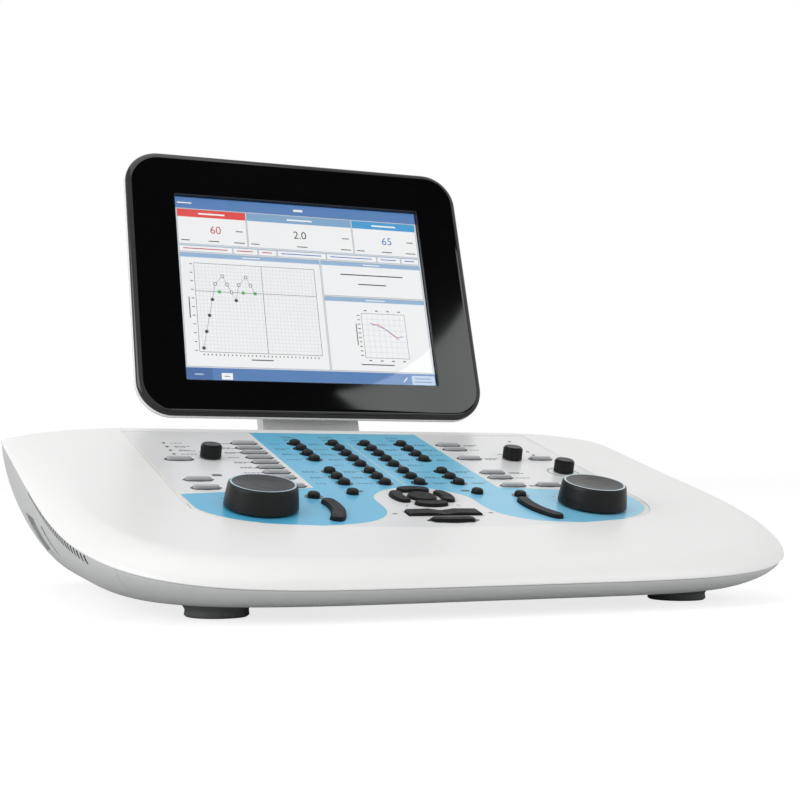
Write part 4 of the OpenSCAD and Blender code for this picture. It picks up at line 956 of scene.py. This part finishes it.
class AUDIOMETER_OT_panel(bpy.types.Operator):
    """Finishes the key panel and adds its prints"""
    bl_idname = "audiometer.panel"
    bl_label = "Key panel"

    def execute(self, context):
        dress("control_overlay", "panel_tray", "main_board", "key_switches", "dial_encoders",
              "knob_encoders", "key_windows", "panel_leds")
        settings = context.scene.audiometer_panel
        self.blue_field(settings)
        self.light_lines(settings)
        self.labels()
        return {"FINISHED"}

    # Right half of the grey hill in front of the keys, from the middle to the side of the panel
    HILL = [
        (0, -115.8), (7.6, -116.6), (18.5, -121.2), (26.4, -127.8), (32.6, -136.2),
        (34.7, -144.5), (34.9, -156), (36.2, -168.2), (40.4, -178.2), (47.4, -186),
        (56.5, -191.8), (68.1, -195.6), (93.5, -198.8), (110.5, -197.2), (125.2, -192.3),
        (141, -183.8), (152.7, -173), (158.2, -163.6), (160.4, -154.6), (161, -137.2)]
    FIELD_X, FIELD_FRONT, FIELD_SIDE, FIELD_EDGE = 68.4, -115.3, -128.5, 161.0
    # Heights of the prints above the sheet, and the widths of their strokes
    BLUE_T, LINE_T, BORDER_T, DASH_T = 0.06, 0.1, 0.08, 0.09
    BORDER_W, MARK_W, ARROW_W, DASH_W = 0.7, 0.6, 1.6, 1.0
    # Distances of the dashes from the middles of the keys and knobs
    OUTER_GAP, INNER_GAP, WIDE_GAP, EDGE_GAP, KNOB_GAP = 15.2, 14.9, 17.6, 6.6, 14.5

    def half_outline(self):
        """Right half of the blue print, clockwise from the middle of the rear edge."""
        rear = PANEL_REAR - 0.6
        edges = [(0.0, rear), (self.FIELD_X, rear), (self.FIELD_X, self.FIELD_FRONT),
                 (self.FIELD_EDGE, self.FIELD_SIDE)]
        return edges + curve_through(self.HILL)[::-1][:-1]

    def blue_field(self, settings):
        right = self.half_outline()
        left = [(-x, v) for x, v in right[::-1]]
        outline = right + [(0.0, self.HILL[0][1])] + left[:-1]
        field = piece_from(
            "blue_print", *prism_data(outline, SHEET_N, SHEET_N + self.BLUE_T, panel_point),
            blue_film(settings), "base")
        wide = LEFT_WIDE + RIGHT_WIDE + FAR_WIDE + EDGE_WIDE
        holes = [circle_outline(x, v, KEY_R + KEY_GAP) for x, v in ROUND_KEYS + PLAIN_KEYS]
        holes += [circle_outline(x, v, DIAL_SHAFT_R) for x, v in DIALS]
        holes += [pill_outline(x, v, WIDE_L + 2 * KEY_GAP, WIDE_D + 2 * KEY_GAP) for x, v in wide]
        holes += [arc_outline(x, v, BAR_RING, BAR_WIDTH, *BAR_TURN, x > 0) for x, v in DIALS]
        holes += [circle_outline(x, v, LAMP_R, 16) for x, v in EYE_LAMPS]
        carve(field, join_data([
            prism_data(hole, SHEET_N - 1, SHEET_N + 1, panel_point) for hole in holes]))

    def light_lines(self, settings):
        cream = ink("printing_ink_cream", "#f1efe6", "#e6e3d8")
        width = settings.outline_width / MM
        strips = []
        for s in (-1, 1):
            corner = (s * self.FIELD_X, self.FIELD_FRONT)
            strips += [[(s * self.FIELD_X, PANEL_REAR - 1), corner],
                       [corner, (s * self.FIELD_EDGE, self.FIELD_SIDE)],
                       [(s * x, v) for x, v in curve_through(self.HILL)]]
        data = [self.print_data(line, width, self.LINE_T) for line in strips]
        data.append(self.print_data([(0, 6.5), (0, -111)], width / 2, self.LINE_T))
        inset = 1.6
        border = curve_through(panel_outline(-inset)[40:58]
                               + [(PANEL_W / 2 - inset, PANEL_REAR - inset)], 2)
        for s in (1, -1):
            data.append(self.print_data([(s * x, v) for x, v in border], self.BORDER_W, self.BORDER_T))
        lines = piece_from("light_print_lines", *join_data(data), cream, "base")

    def print_data(self, line, width, thick):
        """Printed stroke on the sheet."""
        return ribbon_data(line, width, SHEET_N, SHEET_N + thick, panel_point)

    def labels(self):
        """Small plain dashes beside the keys, and plain marks round the dials and knobs."""
        dark = ink("printing_ink_gray", "#55595c", "#4b4f52")
        deep = ink("printing_ink_deep_blue", "#1d4a60", "#173f53")
        on_blue, on_gray = [], []
        for k, (x, v) in enumerate(ROUND_KEYS[:-2]):
            side = -1 if x < 0 else 1
            gap = self.OUTER_GAP if abs(x) > 20 else self.INNER_GAP
            on_blue += self.dashes(x + side * gap, v, k)
        for keys, along, up, first in (
                (LEFT_WIDE, -self.WIDE_GAP, 0, 3), (RIGHT_WIDE, self.WIDE_GAP, 0, 5),
                (EDGE_WIDE + FAR_WIDE, 0, self.EDGE_GAP, 0), (KNOBS[:2], 0, self.KNOB_GAP, 2),
                ([(-131, v) for v in LEFT_LAMPS_V], 0, 0, 0)):
            for k, (x, v) in enumerate(keys):
                on_gray += self.dashes(x + along, v + up, k + first)
        for k, x in enumerate((-OUTER_X, -INNER_X, INNER_X, OUTER_X)):
            on_blue += self.dashes(x, 12.5, k + 1)
            on_blue += self.dashes(x, 20.5, k + 4)
        # A ring round the front knob, ticks round the arrow keys and bars beside the rocker
        on_gray.append(([polar(*KNOBS[2], 11.8, a) for a in range(-60, 241, 10)], self.MARK_W))
        for a in (45, 135, 225, 315):
            on_gray.append(([polar(*NAV, r, a) for r in (24.5, 27.5)], self.MARK_W))
        for s in (-1, 1):
            on_gray.append(([(s * 32.4, ROCKER[1]), (s * 35.6, ROCKER[1])], self.ARROW_W))
        on_blue += [([polar(*dial, r, a) for r in (27, 29.5)], self.MARK_W)
                    for dial in DIALS for a in range(50, 131, 16)]
        for name, strokes, finish in (
                ("blue_legend_dashes", on_blue, deep), ("gray_legend_dashes", on_gray, dark)):
            data = [self.print_data(line, width, self.DASH_T) for line, width in strokes]
            piece_from(name, *join_data(data), finish, "base")

    def dashes(self, x, v, k):
        """One or two rows of short dashes, whose lengths follow a fixed pattern."""
        rows = []
        for line, shift in enumerate((1.1, -1.1) if k % 3 else (0.0,)):
            left = x - 5.2 + (k * 7 % 3) * 0.6
            for j in range(3 + (k + line) % 2):
                length = 1.7 + ((k * 5 + j * 3 + line) % 4) * 0.45
                rows.append(([(left, v + shift), (left + length, v + shift)], self.DASH_W))
                left += length + 0.6
        return rows


class AUDIOMETER_OT_keys(bpy.types.Operator):
    """Finishes every key"""
    bl_idname = "audiometer.keys"
    bl_label = "Keys"

    def execute(self, context):
        dress(*[name for name in frame["nodes"] if name.endswith(("_key", "_keys"))])
        return {"FINISHED"}


class AUDIOMETER_OT_dials(bpy.types.Operator):
    """Finishes the two large dials and the three knobs"""
    bl_idname = "audiometer.dials"
    bl_label = "Dials and knobs"

    def execute(self, context):
        dress("left_dial", "right_dial", "left_dial_ring", "right_dial_ring", "left_knob",
              "right_knob", "right_front_knob")
        return {"FINISHED"}


class AUDIOMETER_OT_neck(bpy.types.Operator):
    """Finishes the neck and its hinges"""
    bl_idname = "audiometer.neck"
    bl_label = "Neck"

    def execute(self, context):
        dress("neck_arm", "neck_face", "display_hinge_pin", "display_hinge_bracket")
        return {"FINISHED"}


class AUDIOMETER_OT_display(bpy.types.Operator):
    """Builds the polished frame, the silver band, the rear shell and the LCD panel, and finishes the
    glass
    """
    bl_idname = "audiometer.display"
    bl_label = "Display"

    def execute(self, context):
        self.bezel()
        self.band()
        self.rear_shell()
        self.lcd()
        dress("display_glass")
        return {"FINISHED"}

    def plate_ring(self, w, h, r, depth, up=0.0, n=20):
        """Rounded rectangle at a depth behind the screen face."""
        ring = []
        for c in range(4):
            cx = (1 if c in (0, 3) else -1) * (w / 2 - r)
            cz = (1 if c < 2 else -1) * (h / 2 - r)
            for k in range(n):
                a = math.radians(c * 90 + k * 90 / (n - 1))
                ring.append(display_point(cx + r * math.cos(a), depth, up + cz + r * math.sin(a)))
        return ring

    def frame_ring(self, inset, depth):
        """Outline of the housing, drawn in by an inset."""
        return self.plate_ring(DISPLAY_W - 2 * inset, DISPLAY_H - 2 * inset,
                               max(DISPLAY_R - inset, 3), depth, HOUSING_UP)

    def window_ring(self, grow, r, depth):
        """Outline of the screen, grown on every side together."""
        return self.plate_ring(SCREEN_W + grow, SCREEN_H + grow, r, depth)

    def bezel(self):
        frame_rings = [(0.4, BEZEL_BACK), (0.4, BAND_DEPTH), (0, BAND_DEPTH - 0.1)]
        frame_rings += [(BEZEL_IN * (1 - math.cos(math.radians(a))),
                         BEZEL_FALL * (1 - math.sin(math.radians(a)))) for a in range(0, 91, 9)]
        frame_rings.append((BEZEL_IN + 0.4, 0))
        window = [(4, 2, 0), (2, 1.5, 0), (1, 1, 0.3), (1, 1, WINDOW_DEPTH)]
        inner = [(5, WINDOW_DEPTH), (2.2, 5), (2.2, BEZEL_BACK)]
        rings = ([self.frame_ring(i, d) for i, d in frame_rings]
                 + [self.window_ring(*spot) for spot in window]
                 + [self.frame_ring(i, d) for i, d in inner])
        made = piece_from("polished_frame", *loft_data(rings, "loop"),
                          SceneState.looks["gloss_black"], "display", 25)
        stand_for("display_bezel")

    def band(self):
        """Silver band round the edge, between the polished frame and the rear shell."""
        profile = [(0.35, BAND_DEPTH), (0, BAND_DEPTH), (-0.2, BAND_DEPTH + 0.2),
                   (-0.2, BACK_AT - 0.2), (0, BACK_AT), (0.35, BACK_AT)]
        rings = [self.frame_ring(i, d) for i, d in profile]
        made = piece_from("silver_band", *loft_data(rings, "loop"),
                          SceneState.looks["neck_silver"], "display", 50)
        stand_for("display_trim")

    def rear_shell(self):
        """Bulged back, drawn as inset and depth, with sound slots near its top."""
        outer = [(30, 21), (27, 20.9), (21, 19.9), (15, 18), (9, 15.8), (4, 13.2), (2, 11.8),
                 (0.8, 10.6), (0.2, 9.8), (0, 9.2), (0, BACK_AT)]
        inner = [(2.2, BACK_AT), (2.2, 9.2), (5.5, 10.8), (16, 15.8), (31, 18.8)]
        rings = [self.frame_ring(i, d) for i, d in outer + inner]
        made = piece_from("display_back", *loft_data(rings, "flat"),
                          SceneState.looks["case_gray"], "display", 50)
        starts = [i * SLOT_PITCH - SLOT_W / 2 for i in range(-7, 8)]
        slots = [block_data((x, 62, 10), (x + SLOT_W, 88, 24), display_block_point)
                 for x in starts]
        carve(made, join_data(slots), smooth=50)
        stand_for("display_rear_shell")

    def lcd(self):
        """Panel in its pressed frame, with the box of its driver behind it."""
        front, back = WINDOW_DEPTH + GLASS_T + 0.8, 9.6
        rings = [self.window_ring(12 - 2 * i, 2, d)
                 for i, d in ((1.0, front), (0, front + 0.8), (0, back - 0.3), (1.0, back))]
        driver = block_data((-60, -29, back), (60, 41, back + 4), display_block_point)
        made = piece_from("lcd_panel", *join_data([loft_data(rings, "flat"), driver]),
                          SceneState.looks["lcd"], "display")
        stand_for("lcd_module")


class AUDIOMETER_OT_picture(bpy.types.Operator):
    """Lights the screen with a plain measuring picture made of bars, frames and numbers"""
    bl_idname = "audiometer.picture"
    bl_label = "Screen picture"

    TONES = {
        "page": "#dde3ea", "bar": "#4179b8", "tab": "#2a62a5", "red": "#e8332c",
        "slate": "#7aa8d0", "sky": "#1b9bd8", "white": "#fbfcfd", "head": "#94b9dc",
        "line": "#8b98a6", "dark": "#23272c", "ruby": "#c2252b", "blue": "#2a6cc0",
        "green": "#32b24a", "grid": "#d9dfe6", "pale": "#b9d0e8"}
    LAYER, PLATE = 0.04, 0.03
    # Text, middle, height and tone of the three large numbers
    NUMBERS = (("60", 32.5, 28.6, 9.5, "ruby"), ("2.0", 104.6, 28.2, 9.5, "dark"),
               ("65", 182.5, 28.6, 9.5, "blue"))

    def execute(self, context):
        self.front = WINDOW_DEPTH + GLASS_T + 0.75
        bright = context.scene.audiometer_display.brightness
        self.looks = {name: lit_pixels("lit_pixels_" + name, code, bright)
                      for name, code in self.TONES.items()}
        self.shapes = {name: [] for name in self.TONES}
        self.windows()
        self.graph()
        self.chart()
        for name, parts in self.shapes.items():
            if parts:
                piece = piece_from("picture_" + name, *join_data(parts), self.looks[name], "display")
        for number in self.NUMBERS:
            self.number(*number)
        return {"FINISHED"}

    def place(self, x, y, out):
        """Point of the picture: x from its left, y from its top, out towards the glass."""
        return display_point(x - SCREEN_W / 2, self.front - out, SCREEN_H / 2 - y)

    def levels(self, layer):
        """Bottom and top of a plate in a layer."""
        return self.LAYER * layer, self.LAYER * layer + self.PLATE

    def bar(self, tone, x0, y0, x1, y1, layer):
        outline = [(x0, y0), (x1, y0), (x1, y1), (x0, y1)]
        self.shapes[tone].append(prism_data(outline, *self.levels(layer), self.place))

    def stroke(self, tone, line, width, layer):
        self.shapes[tone].append(ribbon_data(line, width, *self.levels(layer), self.place))

    def spot(self, tone, x, y, r, layer):
        outline = circle_outline(x, y, r, 14)
        self.shapes[tone].append(prism_data(outline, *self.levels(layer), self.place))

    def window(self, x0, y0, x1, y1, head, tone="head"):
        self.bar("line", x0 - 0.3, y0 - 0.3, x1 + 0.3, y1 + 0.3, 1)
        self.bar("white", x0, y0 + head, x1, y1, 2)
        self.bar(tone, x0, y0, x1, y0 + head, 2)

    def edges(self, left, top, right, low, width):
        """Dark lines along the four edges of a plot."""
        for line in ([(left, top), (right, top)], [(right, top), (right, low)],
                     [(left, low), (right, low)], [(left, top), (left, low)]):
            self.stroke("dark", line, width, 4)

    def windows(self):
        """Title bar, three coloured fields, a row of small fields, three windows, foot bar."""
        for bar in (("page", 0, 0, SCREEN_W, SCREEN_H, 0), ("bar", 0, 0, SCREEN_W, 10, 1),
                    ("white", 2, 4.6, 14, 5.6, 2), ("white", 101, 4.2, 109, 6.2, 2)):
            self.bar(*bar)
        for x0, x1, tone in ((1.5, 58.5, "red"), (59.8, 151, "slate"), (152.3, 209.7, "sky")):
            self.window(x0, 10.8, x1, 41.4, 6.8, tone)
            middle = (x0 + x1) / 2
            self.bar("white", middle - 11, 13.6, middle + 11, 15, 3)
            self.bar("dark", x1 - 9, 27.8, x1 - 3, 28.6, 3)
            for a, b in ((x0 + 2, x0 + 9), (middle - 4, middle + 5), (x1 - 11, x1 - 2)):
                self.bar("dark", a, 38, b, 38.8, 3)
        for x0, x1 in ((1.5, 45.2), (46.2, 66.6), (67.6, 82.8), (83.8, 125.7), (126.7, 170.9),
                       (171.9, 192.8), (193.8, 209.4)):
            self.window(x0, 43, x1, 48.2, 0.4)
            self.bar("ruby" if x1 < 90 else "blue", x0 + 3, 45.2, x1 - 4, 46, 3)
        for x0, y0, x1, y1 in ((1.5, 49.8, 119.2, 146.4), (120.8, 49.8, 209.6, 80.4),
                               (120.8, 82, 209.6, 146.4)):
            self.window(x0, y0, x1, y1, 3.6)
        for bar in (("white", 53, 51.2, 68, 52, 3), ("white", 158, 51.2, 173, 52, 3),
                    ("white", 157, 83.4, 174, 84.2, 3), ("dark", 137, 60.6, 193, 61.6, 3),
                    ("dark", 152, 69, 177, 70, 3), ("bar", 0, 147.6, SCREEN_W, SCREEN_H, 1),
                    ("tab", 0, 147.6, 21.3, SCREEN_H, 2), ("pale", 7, 152.6, 14, 153.6, 3),
                    ("white", 28.5, 151.6, 37.5, 157, 2), ("dark", 31, 154, 35, 154.6, 3),
                    ("pale", 190, 149.4, 210.4, 157.4, 2), ("bar", 193, 151.6, 207, 152.4, 3),
                    ("bar", 192, 154.4, 208, 155.2, 3)):
            self.bar(*bar)
        self.stroke("white", [(182.4, 155), (186, 151.4)], 0.8, 2)

    def graph(self):
        """Large plot with a grid, a zigzag trace and dashes along two sides."""
        left, top, right, low = 12.3, 58.4, 113.8, 134.4
        for k in range(1, 34):
            x = left + (right - left) * k / 34
            self.bar("grid", x - 0.12, top, x + 0.12, low, 3)
        for k in range(1, 24):
            y = top + (low - top) * k / 24
            self.bar("grid", left, y - 0.12, right, y + 0.12, 3)
        self.edges(left, top, right, low, 0.35)
        self.stroke("dark", [(left, 82.6), (right, 82.6)], 0.35, 4)
        self.stroke("dark", [(68.2, top), (68.2, low)], 0.35, 4)
        trace = [(15.8, 131.3), (19, 117.2), (22.3, 103.4), (25.5, 89.6), (28.8, 75.8),
                 (35.2, 68.8), (38.5, 76), (41.8, 82.7), (45.1, 89.6), (48.2, 75.9),
                 (54.6, 68.8), (58, 75.8), (61.4, 82.8)]
        self.stroke("line", trace, 0.4, 5)
        filled, last = (0, 1, 2, 3, 8, 12), 12
        for k, (x, y) in enumerate(trace):
            self.spot("green" if k == last else "dark", x, y, 1.5, 6)
            if k not in filled:
                self.spot("white", x, y, 1.0, 7)
        for x in (31.8, 51.5):
            self.spot("green", x, 82.7, 1.5, 6)
        for k in range(1, 31):
            x = left + (right - left) * k / 31
            self.bar("dark", x - 0.45, low + 1.6, x + 0.45, low + 2.8, 4)
        for k in range(11):
            y = top + 1 + (low - top - 2) * k / 10
            self.bar("dark", left - 3.6, y - 0.35, left - 1.6, y + 0.35, 4)
        self.bar("dark", 54, 139.6, 72, 140.5, 4)
        self.bar("dark", 6.2, 88, 7, 106, 4)

    def chart(self):
        """Small plot with a grid, two curves and dashes round it."""
        left, top, right, low = 151.4, 95.6, 190, 134.8
        for k in range(1, 8):
            x = left + (right - left) * k / 8
            self.bar("grid", x - 0.15, top, x + 0.15, low, 3)
            y = top + (low - top) * k / 8
            self.bar("grid", left, y - 0.15, right, y + 0.15, 3)
        self.edges(left, top, right, low, 0.3)
        red = [(159.8, 105.9), (164.8, 104.6), (170, 108), (176.8, 113.4), (183, 118.2)]
        blue = [(158.6, 104), (165, 106.4), (172, 109.2), (181.3, 116.4), (187, 115)]
        self.stroke("red", red, 0.5, 5)
        self.stroke("blue", blue, 0.5, 6)
        for k in range(10):
            y = top + (low - top) * (k + 0.5) / 10
            self.bar("dark", left - 4, y - 0.35, left - 1.6, y + 0.35, 4)
        for k in range(4):
            x = left + 4 + k * 10
            self.bar("dark", x - 1.2, top - 3, x + 1.2, top - 2.1, 4)
            self.bar("dark", x - 1.2, low + 2, x + 1.2, low + 2.9, 4)
        self.bar("dark", 145.6, 105, 146.4, 124, 4)
        self.bar("dark", 147, 140.4, 176, 141.3, 4)

    def number(self, text, x, y, tall, tone):
        """Plain number as a thin plate, centred on a point of the picture."""
        data = bpy.data.curves.new("number", "FONT")
        data.body, data.size, data.align_x, data.align_y = text, tall, "CENTER", "CENTER"
        data.extrude = 0.01
        source = bpy.data.objects.new("number", data)
        bpy.context.scene.collection.objects.link(source)
        graph = bpy.context.evaluated_depsgraph_get()
        graph.update()
        mesh = bpy.data.meshes.new_from_object(source.evaluated_get(graph))
        bpy.data.objects.remove(source)
        for vertex in mesh.vertices:
            out = 0.13 if vertex.co.z > 0 else 0.10
            vertex.co = self.place(x + vertex.co.x, y - vertex.co.y, out)
        mesh.materials.clear()
        mesh.materials.append(self.looks[tone])
        made = bpy.data.objects.new("picture_number_" + text.replace(".", "_"), mesh)
        bpy.context.scene.collection.objects.link(made)
        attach(made, "display")


class AUDIOMETER_OT_sockets(bpy.types.Operator):
    """Adds the metal rings, pins and tongue of the rear sockets"""
    bl_idname = "audiometer.sockets"
    bl_label = "Rear sockets"

    def execute(self, context):
        steel = SceneState.looks["steel"]
        mouth = PANEL_ORIGIN[1] + BAY_Y + 1.6
        rings = [self.ring(x, mouth, z) for z in JACK_Z for x in JACK_X]
        piece_from("jack_rims", *join_data(rings), steel, "base")
        pins = [self.pin(INLET, x, z, (1, 2.4), mouth - 4)
                for x, z in ((-6.5, -1.5), (6.5, -1.5), (0, 2.2))]
        pins.append(self.pin(PORT, 0, 0, (3, 1.2), mouth - 5))
        piece_from("socket_pins", *join_data(pins), steel, "base")
        return {"FINISHED"}

    def pin(self, socket, x, z, half, end):
        """Contact at a place in a socket, by its half width and half height."""
        x, z, root = socket[0] + x, socket[1] + z, PANEL_ORIGIN[1] + BAY_Y + 1.6 - 14
        return block_data((x - half[0], root, z - half[1]), (x + half[0], end, z + half[1]))

    def ring(self, x, y, z, n=32):
        """Turned rim round the mouth of a jack."""
        profile = [(JACK_R + r, out) for r, out in (
            (0.05, -0.8), (0.1, 0.5), (0.6, 0.9), (1.6, 0.9), (2.0, 0.4), (2.0, 0.02),
            (0.4, 0.02), (0.4, -0.8))]
        m = len(profile)
        points = []
        for i in range(n):
            for r, out in profile:
                px, pz = polar(x, z, r, 360 * i / n)
                points.append(world_point(px, y + out, pz))
        faces = [[i * m + k, i * m + (k + 1) % m, (i + 1) % n * m + (k + 1) % m, (i + 1) % n * m + k]
                 for i in range(n) for k in range(m)]
        return points, faces


class AUDIOMETER_PT_pieces(bpy.types.Panel):
    """Sizes, colours and pieces of the audiometer"""
    bl_label = "Audiometer"
    bl_idname = "AUDIOMETER_PT_pieces"
    bl_space_type = "VIEW_3D"
    bl_region_type = "UI"
    bl_category = "Audiometer"

    def draw(self, context):
        for group in SETTINGS:
            settings = getattr(context.scene, group)
            box = self.layout.box()
            for key in settings.__annotations__:
                box.prop(settings, key)
        for operator in OPERATORS:
            self.layout.operator(operator.bl_idname)


SETTINGS = {
    "audiometer_case": AudiometerCaseSettings,
    "audiometer_panel": AudiometerPanelSettings,
    "audiometer_display": AudiometerDisplaySettings,
    "audiometer_stage": AudiometerStageSettings,
}
OPERATORS = (
    AUDIOMETER_OT_stage, AUDIOMETER_OT_finishes, AUDIOMETER_OT_case, AUDIOMETER_OT_feet,
    AUDIOMETER_OT_panel, AUDIOMETER_OT_keys, AUDIOMETER_OT_dials, AUDIOMETER_OT_neck,
    AUDIOMETER_OT_display, AUDIOMETER_OT_picture, AUDIOMETER_OT_sockets)


def register():
    for kind in list(SETTINGS.values()) + list(OPERATORS) + [AUDIOMETER_PT_pieces]:
        bpy.utils.register_class(kind)
    for name, kind in SETTINGS.items():
        setattr(bpy.types.Scene, name, bpy.props.PointerProperty(type=kind))


def unregister():
    for name in SETTINGS:
        delattr(bpy.types.Scene, name)
    for kind in [AUDIOMETER_PT_pieces] + list(OPERATORS)[::-1] + list(SETTINGS.values())[::-1]:
        bpy.utils.unregister_class(kind)


def main():
    """Builds the scene in order."""
    register()
    for operator in OPERATORS:
        group, call = operator.bl_idname.split(".")
        getattr(getattr(bpy.ops, group), call)()


if __name__ == "__main__":
    main()
